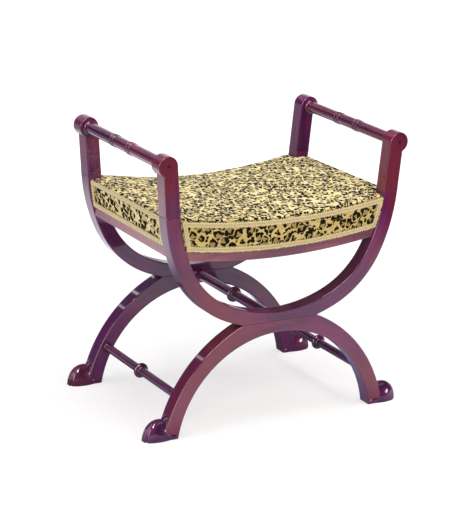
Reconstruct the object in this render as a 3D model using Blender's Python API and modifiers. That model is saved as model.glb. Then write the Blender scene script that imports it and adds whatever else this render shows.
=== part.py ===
"""Curule bench: two X frames of bows and arches, turned rails, and a dished stuffed-over seat.

Metres, +Z up, +X to the sitter's right as seen from the front, front towards -Y.
The origin is on the floor under the middle of the bench.
"""

import math

import bmesh
import bpy
from mathutils import Vector

# Clearances
GAP = 0.0003  # between pieces that touch
SOFT_GAP = 0.0005  # between curved layers of the seat
NOTCH_CLEAR = 0.0006  # seat cloth to the bow that it is cut round

# Side frames, each a bow over an arch with two posts
FRAME_DEPTH = 0.410  # outer face of the front frame to outer face of the back frame
FRAME_THICK = 0.035
BAND_WIDTH = 0.034  # width of the bows and posts on their faces
BOW_LOW_RADIUS = 0.325  # the bow's centre line: three arcs from the middle up to the post
BOW_LOW_ANGLE = 24.1
BOW_SIDE_RADIUS = 0.213
BOW_SIDE_ANGLE = 40.7
BOW_TOP_RADIUS = 0.371
BOW_TOP_ANGLE = 20.5
BOW_LOW_FACETS = 4
BOW_SIDE_FACETS = 7
BOW_TOP_FACETS = 3
POST_LENGTH = 0.1105  # bow joint to the level of the head's centre
HEAD_RADIUS = 0.0227
HEAD_FACETS = 14
ARCH_APEX = 0.2108  # underside of the arch at its middle
ARCH_INNER_RADIUS = 0.248
ARCH_OUTER_RADIUS = 0.323
FOOT_WIDTH = 0.0356  # width of a leg on the floor
SHOULDER_WIDTH = 0.0418  # width of the arch at the shoulder, measured from the underside outwards
SHOULDER_ANGLE = 20.0  # the shoulder's angle from upright, about the underside's centre
CROSS_HEIGHT = 0.0475  # underside of the arch to the inner edge of the bow, at the middle
ARCH_FACETS = 14

# Dowels inside the frames
DOWEL_RADIUS = 0.005
POST_DOWEL_LENGTH = 0.040
CROSS_DOWEL_LENGTH = 0.030
CROSS_DOWEL_X = 0.050

# Paw feet
PAW_REACH = 0.0442  # toe tips beyond the leg's outer edge on the floor
PAW_HEIGHT = 0.046
PAW_LENGTH = 0.072  # heel of the paw, hidden in the leg, to the toe tips
PAW_HALF_WIDTH = 0.0195
TOE_COUNT = 4
TOE_HEIGHT = 0.030
TOE_LENGTH = 0.034
TOE_OVERLAP = 1.22  # toe width as a share of its place, so that neighbours run together
TOE_FAN = 0.22  # how far the outer toes lie back, as a share of their distance from the middle
SOLE_SHARE = 0.16  # share of a toe that the floor cuts off
INSTEP_BACK = 0.004  # the instep ends this far behind the toe tips
INSTEP_WIDTH_SHARE = 0.94
INSTEP_LOW_SHARE = 0.22  # height of the instep's middle as a share of the paw's height
PAW_CELLS = (14, 8)
TOE_CELLS = (12, 6)

# Arm rails and stretchers, turned, all along Y
RAIL_RADIUS = 0.0130
RAIL_NODE_Y = 0.039  # ringed nodes either side of the middle
RAIL_BEAD = 0.0009  # height of a node's two ridges
RAIL_BEAD_HALF = 0.0024
RAIL_BEAD_APART = 0.0048  # each ridge to the middle of its node
RAIL_COLLAR = 0.0022
RAIL_TENON_RADIUS = 0.0056
PELLET_LENGTH = 0.006
STRETCHER_Z = 0.0866
STRETCHER_RADIUS = 0.0095
STRETCHER_RING = 0.0080
CENTRE_STRETCHER_RADIUS = 0.0113
CENTRE_STRETCHER_RING = 0.0070
CENTRE_STRETCHER_DROP = 0.0026  # below the joint of bow and arch
STRETCHER_RING_HALF = 0.0050
STRETCHER_FILLET = 0.0028  # height of the thin rings either side of the middle ring
STRETCHER_FILLET_HALF = 0.0022
STRETCHER_COLLAR = 0.0022
STRETCHER_TENON_RADIUS = 0.0060
STRETCHER_TENON_LENGTH = 0.020
COLLAR_HALF = 0.0040
TURN_FACETS = 12
BEAD_FACETS = 4

# Seat rails
DISH_RADIUS = 1.50  # the seat is dished along X
RAIL_BOTTOM = 0.3815  # at the middle of the front and back rails
RAIL_HEIGHT = 0.052
RAIL_RECESS = 0.006  # rail face behind the frame's outer face
SIDE_RAIL_OUT = 0.270
SIDE_RAIL_THICK = 0.024
RAIL_FACETS = 10
TENON_DEPTH = 0.010
TENON_HEIGHT = 0.026
TENON_THICK = 0.010
BLOCK_LEG = 0.045
BLOCK_HEIGHT = 0.034
BLOCK_RAISE = 0.006

# Webbing and deck
WEB_THICK = 0.0012
WEB_WIDTH = 0.050
WEB_SWING = 0.0012  # how far a strap passes over or under the middle of the weave
CROSS_STRAPS = 5
CROSS_PITCH = 0.092
LONG_STRAPS = 3
LONG_PITCH = 0.100
WEB_CELLS = 4  # cells between two crossings
WEB_MARGIN = 0.007  # strap end to the rail's outer face
DECK_THICK = 0.0010
DECK_MARGIN = 0.004
DECK_FACETS = 12

# Cover, stuffing and gimp
BARE_WOOD = 0.020  # rail left showing below the cover
COVER_HEIGHT = 0.074  # lower edge to the top edge
COVER_THICK = 0.0015
EDGE_RADIUS = 0.005
FRONT_LEAN = 0.0035  # top edge further out than the lower edge, front and back
SIDE_LEAN = 0.0095  # the same at the two ends
BELLY = 0.0018
CROWN = 0.006
BACK_SAG = 0.009  # the worn top edge at the middle of the back lies this much lower
END_SAG = 0.007  # the same at the two ends
END_SAG_POWER = 6  # how close to the ends that sag keeps
COVER_CELLS_X = 12
COVER_CELLS_Y = 8
COVER_CELLS_Z = 2  # levels of cells beside the rails, and as many above them
GIMP_WIDTH = 0.0135
GIMP_THICK = 0.0022
GIMP_LIFT = 0.0005
GIMP_END = 0.0008  # gimp to the edge of its side of the seat
GIMP_CELLS_X = 14
GIMP_CELLS_Y = 8
GIMP_CELLS_Z = 5

# Worked out from the sizes above
BOW_LOW = ARCH_APEX + CROSS_HEIGHT - BAND_WIDTH / 2  # lowest point of the bow's centre line
BOW_ARCS = (
    (BOW_LOW_RADIUS, BOW_LOW_ANGLE, BOW_LOW_FACETS),
    (BOW_SIDE_RADIUS, BOW_SIDE_ANGLE, BOW_SIDE_FACETS),
    (BOW_TOP_RADIUS, BOW_TOP_ANGLE, BOW_TOP_FACETS),
)
OUTER_Y = FRAME_DEPTH / 2
INNER_Y = OUTER_Y - FRAME_THICK
RAIL_FACE_Y = OUTER_Y - RAIL_RECESS
RAIL_MIDDLE_Y = (RAIL_FACE_Y + INNER_Y) / 2
TENON_LOW = RAIL_BOTTOM + (RAIL_HEIGHT - TENON_HEIGHT) / 2
SIDE_RAIL_IN = SIDE_RAIL_OUT - SIDE_RAIL_THICK
COVER_LOW = RAIL_BOTTOM + BARE_WOOD
COVER_HALF_X = SIDE_RAIL_OUT + GAP + COVER_THICK
COVER_HALF_Y = RAIL_FACE_Y + GAP + COVER_THICK
RAIL_TOP = RAIL_BOTTOM + RAIL_HEIGHT
STUFFING_LOW = RAIL_HEIGHT - BARE_WOOD + SOFT_GAP  # above the cover's lower edge
WEB_MIDDLE = RAIL_TOP + SOFT_GAP + WEB_SWING + WEB_THICK / 2
DECK_LOW = WEB_MIDDLE + WEB_SWING + WEB_THICK / 2 + SOFT_GAP
CUTTER_REACH = 0.10  # how far a cutter runs past what it cuts
TINY = 1e-6  # points nearer than this are one point
SEARCH_STEPS = 20  # steps that find where a dished line meets the bow
SHADE_ANGLE = 40.0  # degrees; edges bent more than this are shown sharp

FRAMES = (("front", -1), ("back", 1))
SIDES = (("left", -1), ("right", 1))


def clear_scene():
    for thing in list(bpy.data.objects):
        bpy.data.objects.remove(thing, do_unlink=True)


def new_collection(name):
    group = bpy.data.collections.new(name)
    bpy.context.scene.collection.children.link(group)
    return group


def new_material(name, colour, roughness):
    look = bpy.data.materials.new(name)
    look.use_nodes = True
    shader = look.node_tree.nodes["Principled BSDF"]
    shader.inputs["Base Color"].default_value = (*colour, 1.0)
    shader.inputs["Roughness"].default_value = roughness
    shader.inputs["Metallic"].default_value = 0.0
    return look


clear_scene()
PARTS = new_collection("curule_bench")
CUTTERS = new_collection("cutters")
CENTRE = bpy.data.objects.new("bench_centre", None)
PARTS.objects.link(CENTRE)
LOOKS = {
    "mahogany": new_material("mahogany", (0.18, 0.035, 0.035), 0.25),
    "dark_pellet": new_material("dark_pellet", (0.05, 0.015, 0.02), 0.4),
    "beech": new_material("beech", (0.45, 0.28, 0.15), 0.6),
    "webbing": new_material("webbing", (0.42, 0.30, 0.17), 0.9),
    "hessian": new_material("hessian", (0.40, 0.31, 0.19), 0.95),
    "stuffing": new_material("stuffing", (0.25, 0.20, 0.15), 0.95),
    "leopard_cloth": new_material("leopard_cloth", (0.60, 0.45, 0.17), 0.85),
    "gimp_braid": new_material("gimp_braid", (0.68, 0.56, 0.28), 0.8),
}


def add_part(name, mesh, look):
    part = bpy.data.objects.new(name, mesh)
    part.parent = CENTRE
    mesh.materials.clear()
    mesh.materials.append(LOOKS[look])
    PARTS.objects.link(part)
    return part


def add_cutter(name, mesh):
    cutter = bpy.data.objects.new(name, mesh)
    cutter.hide_render = True
    cutter.display_type = "WIRE"
    CUTTERS.objects.link(cutter)
    return cutter


def combine(part, other, operation):
    step = part.modifiers.new(other.name, "BOOLEAN")
    step.operation = operation
    step.solver = "EXACT"
    step.object = other


def shade(mesh):
    mesh.shade_smooth()
    mesh.set_sharp_from_angle(angle=math.radians(SHADE_ANGLE))


def plate_mesh(name, outline, y_low, y_high):
    """A flat outline of (x, z) points, extruded along Y into a closed mesh."""
    curve = bpy.data.curves.new(name, "CURVE")
    curve.dimensions = "2D"
    curve.fill_mode = "BOTH"
    curve.extrude = (y_high - y_low) / 2
    spline = curve.splines.new("POLY")
    spline.points.add(len(outline) - 1)
    for point, (x, z) in zip(spline.points, outline):
        point.co = (x, z, 0.0, 1.0)
    spline.use_cyclic_u = True
    guide = bpy.data.objects.new(name, curve)
    guide.rotation_euler.x = math.pi / 2
    guide.location.y = (y_low + y_high) / 2
    bpy.context.scene.collection.objects.link(guide)
    bpy.context.view_layer.update()
    graph = bpy.context.evaluated_depsgraph_get()
    mesh = bpy.data.meshes.new_from_object(guide.evaluated_get(graph))
    mesh.transform(guide.matrix_world)
    bpy.data.objects.remove(guide, do_unlink=True)
    work = bmesh.new()
    work.from_mesh(mesh)
    bmesh.ops.remove_doubles(work, verts=work.verts, dist=TINY)
    bmesh.ops.recalc_face_normals(work, faces=work.faces)
    work.to_mesh(mesh)
    work.free()
    return mesh


def rod_mesh(name, start, end, radius, facets=TURN_FACETS):
    """A round rod between two points."""
    axis = Vector(end) - Vector(start)
    work = bmesh.new()
    bmesh.ops.create_cone(
        work, cap_ends=True, segments=facets, radius1=radius, radius2=radius, depth=axis.length
    )
    turn = axis.to_track_quat("Z", "Y").to_matrix()
    bmesh.ops.rotate(work, cent=(0, 0, 0), matrix=turn, verts=work.verts)
    bmesh.ops.translate(work, vec=(Vector(start) + Vector(end)) / 2, verts=work.verts)
    mesh = bpy.data.meshes.new(name)
    work.to_mesh(mesh)
    work.free()
    return mesh


def box_mesh(name, low, high):
    size = Vector(high) - Vector(low)
    work = bmesh.new()
    bmesh.ops.create_cube(work, size=1.0)
    bmesh.ops.scale(work, vec=size, verts=work.verts)
    bmesh.ops.translate(work, vec=(Vector(low) + Vector(high)) / 2, verts=work.verts)
    mesh = bpy.data.meshes.new(name)
    work.to_mesh(mesh)
    work.free()
    return mesh


def sheet_mesh(name, columns, rows, place, keep=None):
    """An open sheet: place(u, v) for each column and row value; keep(i, j) drops cells."""
    points = [place(u, v) for v in rows for u in columns]
    wide = len(columns)
    cells = []
    for j in range(len(rows) - 1):
        for i in range(wide - 1):
            if keep is None or keep(i, j):
                corner = j * wide + i
                cells.append((corner, corner + 1, corner + 1 + wide, corner + wide))
    mesh = bpy.data.meshes.new(name)
    mesh.from_pydata(points, [], cells)
    work = bmesh.new()
    work.from_mesh(mesh)
    loose = [v for v in work.verts if not v.link_faces]
    bmesh.ops.delete(work, geom=loose, context="VERTS")
    work.to_mesh(mesh)
    work.free()
    return mesh


def thicken(part, thickness, offset):
    wall = part.modifiers.new("wall", "SOLIDIFY")
    wall.thickness = thickness
    wall.offset = offset
    wall.use_even_offset = True


def spaced(low, high, cells):
    return [low + (high - low) * i / cells for i in range(cells + 1)]


def dish(x):
    """Rise of the dished seat at x above its middle."""
    return DISH_RADIUS - math.sqrt(DISH_RADIUS**2 - x * x)


# The lines of a side frame, right half, seen from the front


def bow_line(offset):
    """Points (x, z) of the bow at this distance from its centre line, towards the seat if positive."""
    x, z, heading = 0.0, BOW_LOW, 0.0
    points = [(x, z + offset)]
    for radius, turn, facets in BOW_ARCS:
        step = math.radians(turn) / facets
        for _ in range(facets):
            x += radius * (math.sin(heading + step) - math.sin(heading))
            z += radius * (math.cos(heading) - math.cos(heading + step))
            heading += step
            points.append((x - offset * math.sin(heading), z + offset * math.cos(heading)))
    return points


POST_HEADING = math.radians(sum(turn for _, turn, _ in BOW_ARCS))
POST_UP = Vector((math.cos(POST_HEADING), 0.0, math.sin(POST_HEADING)))
POST_IN = Vector((-math.sin(POST_HEADING), 0.0, math.cos(POST_HEADING)))
BOW_END = Vector((bow_line(0.0)[-1][0], 0.0, bow_line(0.0)[-1][1]))
HEAD_CENTRE = BOW_END + POST_LENGTH * POST_UP - (HEAD_RADIUS - BAND_WIDTH / 2) * POST_IN


def post_edge(along, across):
    point = BOW_END + along * POST_UP + across * POST_IN
    return (point.x, point.z)


def arch_inner(z):
    return math.sqrt(ARCH_INNER_RADIUS**2 - (z - ARCH_APEX + ARCH_INNER_RADIUS) ** 2)


FOOT_X = arch_inner(0.0) + FOOT_WIDTH


def outer_centre():
    """Centre (x, z) of the arch's outer edge, an arc through the foot and the shoulder."""
    reach = ARCH_INNER_RADIUS + SHOULDER_WIDTH
    angle = math.radians(SHOULDER_ANGLE)
    foot = Vector((FOOT_X, 0.0))
    shoulder = Vector((reach * math.sin(angle), ARCH_APEX - ARCH_INNER_RADIUS + reach * math.cos(angle)))
    chord = shoulder - foot
    inward = Vector((-chord.y, chord.x)).normalized()
    return (foot + shoulder) / 2 + inward * math.sqrt(ARCH_OUTER_RADIUS**2 - chord.length_squared / 4)


OUTER_CENTRE = outer_centre()


def arch_outer(z):
    return OUTER_CENTRE.x + math.sqrt(ARCH_OUTER_RADIUS**2 - (z - OUTER_CENTRE.y) ** 2)


def crossing():
    """Where the bow's lower edge leaves the arch's upper edge: the notch at the joint's end."""
    edge = bow_line(-BAND_WIDTH / 2)
    for (x0, z0), (x1, z1) in zip(edge, edge[1:]):
        if x1 > arch_outer(z1):
            before = arch_outer(z0) - x0
            after = x1 - arch_outer(z1)
            share = before / (before + after)
            return x0 + share * (x1 - x0), z0 + share * (z1 - z0)
    return edge[-1]


NOTCH_X, JOINT_Z = crossing()
INNER_EDGE = bow_line(BAND_WIDTH / 2) + [post_edge(POST_LENGTH, BAND_WIDTH / 2)]
STRETCHER_X = (arch_inner(STRETCHER_Z) + arch_outer(STRETCHER_Z)) / 2
STRETCHERS = {
    "left": (-STRETCHER_X, STRETCHER_Z),
    "right": (STRETCHER_X, STRETCHER_Z),
    "centre": (0.0, JOINT_Z - CENTRE_STRETCHER_DROP),
}


def inner_x(z):
    """The bow's or post's inner edge at a height."""
    for (x0, z0), (x1, z1) in zip(INNER_EDGE, INNER_EDGE[1:]):
        if z <= z1:
            return x0 + (x1 - x0) * (z - z0) / (z1 - z0)
    return INNER_EDGE[-1][0]


def meet(level, clearance):
    """Where a dished line that is level high in the middle meets the bow's inner edge."""
    x = inner_x(level) - clearance
    for _ in range(SEARCH_STEPS):
        x = inner_x(level + dish(x)) - clearance
    return x, level + dish(x)


def mirrored(half):
    """A closed outline from its right half, listed from the middle out and back to the middle."""
    return half + [(-x, z) for x, z in reversed(half) if x > TINY]


# Side frames


def bow_outline():
    outer = [p for p in bow_line(-BAND_WIDTH / 2) if p[1] > JOINT_Z + GAP]
    base = JOINT_Z + GAP / 2
    inner = bow_line(BAND_WIDTH / 2)
    return mirrored([(NOTCH_X, base)] + outer + inner[::-1])


def arch_outline():
    top = JOINT_Z - GAP / 2
    outer = []
    for z in spaced(top, 0.0, ARCH_FACETS):
        outer.append((arch_outer(z), z))
    heel = math.acos((ARCH_INNER_RADIUS - ARCH_APEX) / ARCH_INNER_RADIUS)
    low = ARCH_APEX - ARCH_INNER_RADIUS
    inner = []
    for angle in spaced(heel, 0.0, ARCH_FACETS):
        inner.append((ARCH_INNER_RADIUS * math.sin(angle), low + ARCH_INNER_RADIUS * math.cos(angle)))
    return mirrored(outer + inner)


def post_outline():
    start = GAP
    head = []
    cross = BAND_WIDTH - HEAD_RADIUS
    sweep = math.pi + math.acos(cross / HEAD_RADIUS)
    for angle in spaced(0.0, sweep, HEAD_FACETS):
        reach = HEAD_RADIUS * (math.cos(angle) * POST_IN + math.sin(angle) * POST_UP)
        head.append(((HEAD_CENTRE + reach).x, (HEAD_CENTRE + reach).z))
    return [post_edge(start, -BAND_WIDTH / 2), post_edge(start, BAND_WIDTH / 2)] + head


def span(side, inner, outer):
    """A Y range between two distances from the middle, on the front (-1) or the back (1)."""
    return (inner, outer) if side > 0 else (-outer, -inner)


def make_frames():
    for where, side in FRAMES:
        near, far = span(side, INNER_Y, OUTER_Y)
        bow = add_part(where + "_bow", plate_mesh(where + "_bow", bow_outline(), near, far), "mahogany")
        arch = add_part(where + "_arch", plate_mesh(where + "_arch", arch_outline(), near, far), "mahogany")
        cross_dowels(where, side, bow, arch)
        stretcher_bores(where, side, bow, arch)
        rail_mortises(where, side, bow)
        for hand, turn in SIDES:
            make_post(f"{where}_{hand}", side, turn, bow)


def cross_dowels(where, side, bow, arch):
    y = side * (OUTER_Y + INNER_Y) / 2
    half = CROSS_DOWEL_LENGTH / 2
    for hand, turn in SIDES:
        x = turn * CROSS_DOWEL_X
        name = f"{where}_{hand}_cross_dowel"
        pin = rod_mesh(name, (x, y, JOINT_Z - half), (x, y, JOINT_Z + half), DOWEL_RADIUS)
        shade(pin)
        add_part(name, pin, "beech")
        deep = half + GAP
        bore = rod_mesh(name, (x, y, JOINT_Z - deep), (x, y, JOINT_Z + deep), DOWEL_RADIUS + GAP)
        cutter = add_cutter(name + "_bore", bore)
        combine(bow, cutter, "DIFFERENCE")
        combine(arch, cutter, "DIFFERENCE")


def stretcher_bores(where, side, bow, arch):
    start = side * (INNER_Y - CUTTER_REACH)
    end = side * (INNER_Y + STRETCHER_TENON_LENGTH + GAP)
    radius = STRETCHER_TENON_RADIUS + GAP
    for name, (x, z) in STRETCHERS.items():
        label = f"{where}_{name}_stretcher_bore"
        cutter = add_cutter(label, rod_mesh(label, (x, start, z), (x, end, z), radius))
        combine(arch, cutter, "DIFFERENCE")
        if name == "centre":
            combine(bow, cutter, "DIFFERENCE")


def rail_mortises(where, side, bow):
    low, high = span(side, RAIL_MIDDLE_Y - TENON_THICK / 2 - GAP, RAIL_MIDDLE_Y + TENON_THICK / 2 + GAP)
    for hand, turn in SIDES:
        end = meet(TENON_LOW + TENON_HEIGHT / 2, GAP)[0]
        left, right = sorted((turn * (end - CUTTER_REACH), turn * (end + TENON_DEPTH + GAP)))
        z = TENON_LOW + dish(end)
        label = f"{where}_{hand}_mortise"
        hole = box_mesh(label, (left, low, z - GAP), (right, high, z + TENON_HEIGHT + GAP))
        combine(bow, add_cutter(label, hole), "DIFFERENCE")


def make_post(name, side, turn, bow):
    near, far = span(side, INNER_Y, OUTER_Y)
    outline = [(turn * x, z) for x, z in post_outline()]
    post = add_part(name + "_post", plate_mesh(name + "_post", outline, near, far), "mahogany")
    y = (near + far) / 2
    up = Vector((turn * POST_UP.x, 0.0, POST_UP.z))
    foot = Vector((turn * BOW_END.x, y, BOW_END.z))
    half = POST_DOWEL_LENGTH / 2
    pin = rod_mesh(name + "_dowel", foot - half * up, foot + half * up, DOWEL_RADIUS)
    shade(pin)
    add_part(name + "_dowel", pin, "beech")
    deep = half + GAP
    bore = rod_mesh(name + "_dowel_bore", foot - deep * up, foot + deep * up, DOWEL_RADIUS + GAP)
    cutter = add_cutter(name + "_dowel_bore", bore)
    combine(bow, cutter, "DIFFERENCE")
    combine(post, cutter, "DIFFERENCE")
    x, z = turn * HEAD_CENTRE.x, HEAD_CENTRE.z
    ends = (x, side * (INNER_Y - CUTTER_REACH), z), (x, side * (OUTER_Y + CUTTER_REACH), z)
    head_bore = rod_mesh(name + "_head_bore", *ends, RAIL_TENON_RADIUS + GAP)
    combine(post, add_cutter(name + "_head_bore", head_bore), "DIFFERENCE")
    ends = (x, side * (OUTER_Y - PELLET_LENGTH), z), (x, side * OUTER_Y, z)
    pellet = rod_mesh(name + "_pellet", *ends, RAIL_TENON_RADIUS)
    shade(pellet)
    add_part(name + "_pellet", pellet, "dark_pellet")


# Paw feet


def ball_mesh(name, centre, radii, cells):
    work = bmesh.new()
    bmesh.ops.create_uvsphere(work, u_segments=cells[0], v_segments=cells[1], radius=1.0)
    bmesh.ops.scale(work, vec=radii, verts=work.verts)
    bmesh.ops.translate(work, vec=centre, verts=work.verts)
    mesh = bpy.data.meshes.new(name)
    work.to_mesh(mesh)
    work.free()
    return mesh


def make_paws():
    for where, side in FRAMES:
        for hand, turn in SIDES:
            make_paw(f"{where}_{hand}_paw", side * (OUTER_Y + INNER_Y) / 2, turn)


def make_paw(name, y, turn):
    """An instep with a row of toes, cut flat on the floor and fitted to its leg."""
    toe_x = FOOT_X + PAW_REACH
    back = toe_x - PAW_LENGTH
    front = toe_x - INSTEP_BACK
    rise = PAW_HEIGHT * INSTEP_LOW_SHARE
    centre = (turn * (back + front) / 2, y, rise)
    radii = ((front - back) / 2, PAW_HALF_WIDTH * INSTEP_WIDTH_SHARE, PAW_HEIGHT - rise)
    paw = add_part(name, ball_mesh(name, centre, radii, PAW_CELLS), "mahogany")
    toe_half = PAW_HALF_WIDTH / (TOE_COUNT - 1 + TOE_OVERLAP)
    toe_radii = (TOE_LENGTH / 2, toe_half * TOE_OVERLAP, TOE_HEIGHT / 2)
    for number in range(TOE_COUNT):
        across = (2 * number + 1 - TOE_COUNT) * toe_half
        set_back = TOE_FAN * max(0.0, abs(across) - toe_half)
        x = turn * (toe_x - TOE_LENGTH / 2 - set_back)
        label = f"{name}_toe_{number + 1}"
        toe = ball_mesh(label, (x, y + across, TOE_HEIGHT * (1 / 2 - SOLE_SHARE)), toe_radii, TOE_CELLS)
        combine(paw, add_cutter(label, toe), "UNION")
    low_y, high_y = y - CUTTER_REACH, y + CUTTER_REACH
    levels = spaced(PAW_HEIGHT + CUTTER_REACH, -CUTTER_REACH, ARCH_FACETS)
    edge = [(arch_outer(z) + GAP, z) for z in levels]
    inside = [(0.0, levels[0])] + edge + [(0.0, levels[-1])]
    leg = plate_mesh(name + "_leg", [(turn * x, z) for x, z in inside], low_y, high_y)
    combine(paw, add_cutter(name + "_leg", leg), "DIFFERENCE")
    left, right = sorted((0.0, turn * (toe_x + CUTTER_REACH)))
    floor = box_mesh(name + "_floor", (left, low_y, -CUTTER_REACH), (right, high_y, 0.0))
    combine(paw, add_cutter(name + "_floor", floor), "DIFFERENCE")


# Turned rails


def bead(place, half_width, base, height):
    """A half-round ring: (place along the axis, radius) pairs in rising order."""
    points = []
    for angle in spaced(math.pi, 0.0, BEAD_FACETS):
        points.append((place + half_width * math.cos(angle), base + height * math.sin(angle)))
    return points


def turned(name, profile, x, z, tenon_radius, tenon_length):
    """A turned piece along Y between the frames, with a round tenon at each end."""
    half = INNER_Y - GAP
    ends = [(half, tenon_radius), (half + tenon_length, tenon_radius), (half + tenon_length, 0.0)]
    line = [(-place, radius) for place, radius in reversed(ends)] + profile + ends
    mesh = bpy.data.meshes.new(name)
    points = [(radius, 0.0, place) for place, radius in reversed(line)]
    mesh.from_pydata(points, [(i, i + 1) for i in range(len(points) - 1)], [])
    part = add_part(name, mesh, "mahogany")
    lathe = part.modifiers.new("lathe", "SCREW")
    lathe.steps = TURN_FACETS
    lathe.render_steps = TURN_FACETS
    lathe.use_merge_vertices = True
    lathe.merge_threshold = TINY
    part.location = (x, 0.0, z)
    part.rotation_euler.x = -math.pi / 2
    return part


def collars(base, height):
    half = INNER_Y - GAP
    first = bead(-half + COLLAR_HALF, COLLAR_HALF, base, height)
    last = bead(half - COLLAR_HALF, COLLAR_HALF, base, height)
    return first, last


def make_rails():
    first, last = collars(RAIL_RADIUS, RAIL_COLLAR)
    nodes = []
    for node in (-RAIL_NODE_Y, RAIL_NODE_Y):
        for place in (node - RAIL_BEAD_APART, node + RAIL_BEAD_APART):
            nodes += bead(place, RAIL_BEAD_HALF, RAIL_RADIUS, RAIL_BEAD)
    for hand, turn in SIDES:
        turned(
            hand + "_arm_rail",
            first + nodes + last,
            turn * HEAD_CENTRE.x,
            HEAD_CENTRE.z,
            RAIL_TENON_RADIUS,
            FRAME_THICK - PELLET_LENGTH,
        )
    for name, (x, z) in STRETCHERS.items():
        middle = name == "centre"
        radius = CENTRE_STRETCHER_RADIUS if middle else STRETCHER_RADIUS
        ring = CENTRE_STRETCHER_RING if middle else STRETCHER_RING
        first, last = collars(radius, STRETCHER_COLLAR)
        beside = STRETCHER_RING_HALF + STRETCHER_FILLET_HALF + GAP
        rings = bead(-beside, STRETCHER_FILLET_HALF, radius, STRETCHER_FILLET)
        rings += bead(0.0, STRETCHER_RING_HALF, radius, ring)
        rings += bead(beside, STRETCHER_FILLET_HALF, radius, STRETCHER_FILLET)
        profile = first + rings + last
        turned(name + "_stretcher", profile, x, z, STRETCHER_TENON_RADIUS, STRETCHER_TENON_LENGTH)


# Seat frame


def dished_outline():
    """Front or back rail: dished above and below, with ends that follow the bow's inner edge."""
    x_low, z_low = meet(RAIL_BOTTOM, GAP)
    x_high, z_high = meet(RAIL_TOP, GAP)
    bottom = [(x, RAIL_BOTTOM + dish(x)) for x in spaced(0.0, x_low, RAIL_FACETS // 2)]
    top = [(x, RAIL_TOP + dish(x)) for x in spaced(x_high, 0.0, RAIL_FACETS // 2)]
    bends = [(x - GAP, z) for x, z in INNER_EDGE if z_low + GAP < z < z_high - GAP]
    return mirrored(bottom + bends + top)


def make_seat_frame():
    for where, side in FRAMES:
        near, far = span(side, INNER_Y, RAIL_FACE_Y)
        name = where + "_seat_rail"
        rail = add_part(name, plate_mesh(name, dished_outline(), near, far), "mahogany")
        low, high = span(side, RAIL_MIDDLE_Y - TENON_THICK / 2, RAIL_MIDDLE_Y + TENON_THICK / 2)
        for hand, turn in SIDES:
            end = meet(TENON_LOW + TENON_HEIGHT / 2, GAP)[0]
            left, right = sorted((turn * (end - TENON_DEPTH), turn * (end + TENON_DEPTH)))
            z = TENON_LOW + dish(end)
            tenon = box_mesh(f"{name}_{hand}_tenon", (left, low, z), (right, high, z + TENON_HEIGHT))
            combine(rail, add_cutter(f"{name}_{hand}_tenon", tenon), "UNION")
            corner_block(f"{where}_{hand}_corner_block", side, turn)
    for hand, turn in SIDES:
        name = hand + "_seat_rail"
        edges = (SIDE_RAIL_IN, SIDE_RAIL_OUT)
        outline = [(turn * x, RAIL_BOTTOM + dish(x)) for x in edges]
        outline += [(turn * x, RAIL_TOP + dish(x)) for x in reversed(edges)]
        add_part(name, plate_mesh(name, outline, GAP - INNER_Y, INNER_Y - GAP), "mahogany")


def corner_block(name, side, turn):
    """A three-sided block in the corner between a dished rail and a side rail."""
    x = turn * (SIDE_RAIL_IN - GAP)
    y = side * (INNER_Y - GAP)
    low = RAIL_BOTTOM + dish(SIDE_RAIL_IN) + BLOCK_RAISE
    work = bmesh.new()
    corners = [(x, y), (x - turn * BLOCK_LEG, y), (x, y - side * BLOCK_LEG)]
    base = work.faces.new([work.verts.new((px, py, low)) for px, py in corners])
    grown = bmesh.ops.extrude_face_region(work, geom=[base])
    raised = [v for v in grown["geom"] if isinstance(v, bmesh.types.BMVert)]
    bmesh.ops.translate(work, vec=(0.0, 0.0, BLOCK_HEIGHT), verts=raised)
    bmesh.ops.recalc_face_normals(work, faces=work.faces)
    mesh = bpy.data.meshes.new(name)
    work.to_mesh(mesh)
    work.free()
    add_part(name, mesh, "beech")


# Webbing and deck


def weave(place, pitch, count, over, end):
    """Rise of a strap at a place along it: over one crossing strap, under the next, down on the rail."""
    last = (count - 1) / 2 * pitch
    if abs(place) <= last:
        phase = (place + last) / pitch
        return over * WEB_SWING * math.cos(math.pi * phase)
    end_over = over if place < 0 else over * (-1) ** (count - 1)
    share = min(1.0, (abs(place) - last) / (end - last))
    drop = (1 + math.cos(math.pi * share)) / 2
    return WEB_SWING * ((end_over + 1) * drop - 1)


def make_webbing():
    half = WEB_WIDTH / 2
    y_end = RAIL_FACE_Y - WEB_MARGIN
    x_end = SIDE_RAIL_OUT - WEB_MARGIN
    for number in range(CROSS_STRAPS):
        middle = (number - (CROSS_STRAPS - 1) / 2) * CROSS_PITCH
        over = (-1) ** number

        def across(u, v, middle=middle, over=over):
            rise = weave(v, LONG_PITCH, LONG_STRAPS, over, INNER_Y)
            return (middle + u, v, WEB_MIDDLE + dish(middle + u) + rise)

        name = f"cross_strap_{number + 1}"
        rows = strap_rows(y_end, LONG_PITCH, LONG_STRAPS, INNER_Y)
        strap = add_part(name, sheet_mesh(name, (-half, 0.0, half), rows, across), "webbing")
        thicken(strap, WEB_THICK, 0.0)
    for number in range(LONG_STRAPS):
        middle = (number - (LONG_STRAPS - 1) / 2) * LONG_PITCH
        over = -((-1) ** number)

        def along(u, v, middle=middle, over=over):
            rise = weave(u, CROSS_PITCH, CROSS_STRAPS, over, SIDE_RAIL_IN)
            return (u, middle + v, WEB_MIDDLE + dish(u) + rise)

        name = f"long_strap_{number + 1}"
        columns = strap_rows(x_end, CROSS_PITCH, CROSS_STRAPS, SIDE_RAIL_IN)
        strap = add_part(name, sheet_mesh(name, columns, (-half, half), along), "webbing")
        thicken(strap, WEB_THICK, 0.0)


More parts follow.
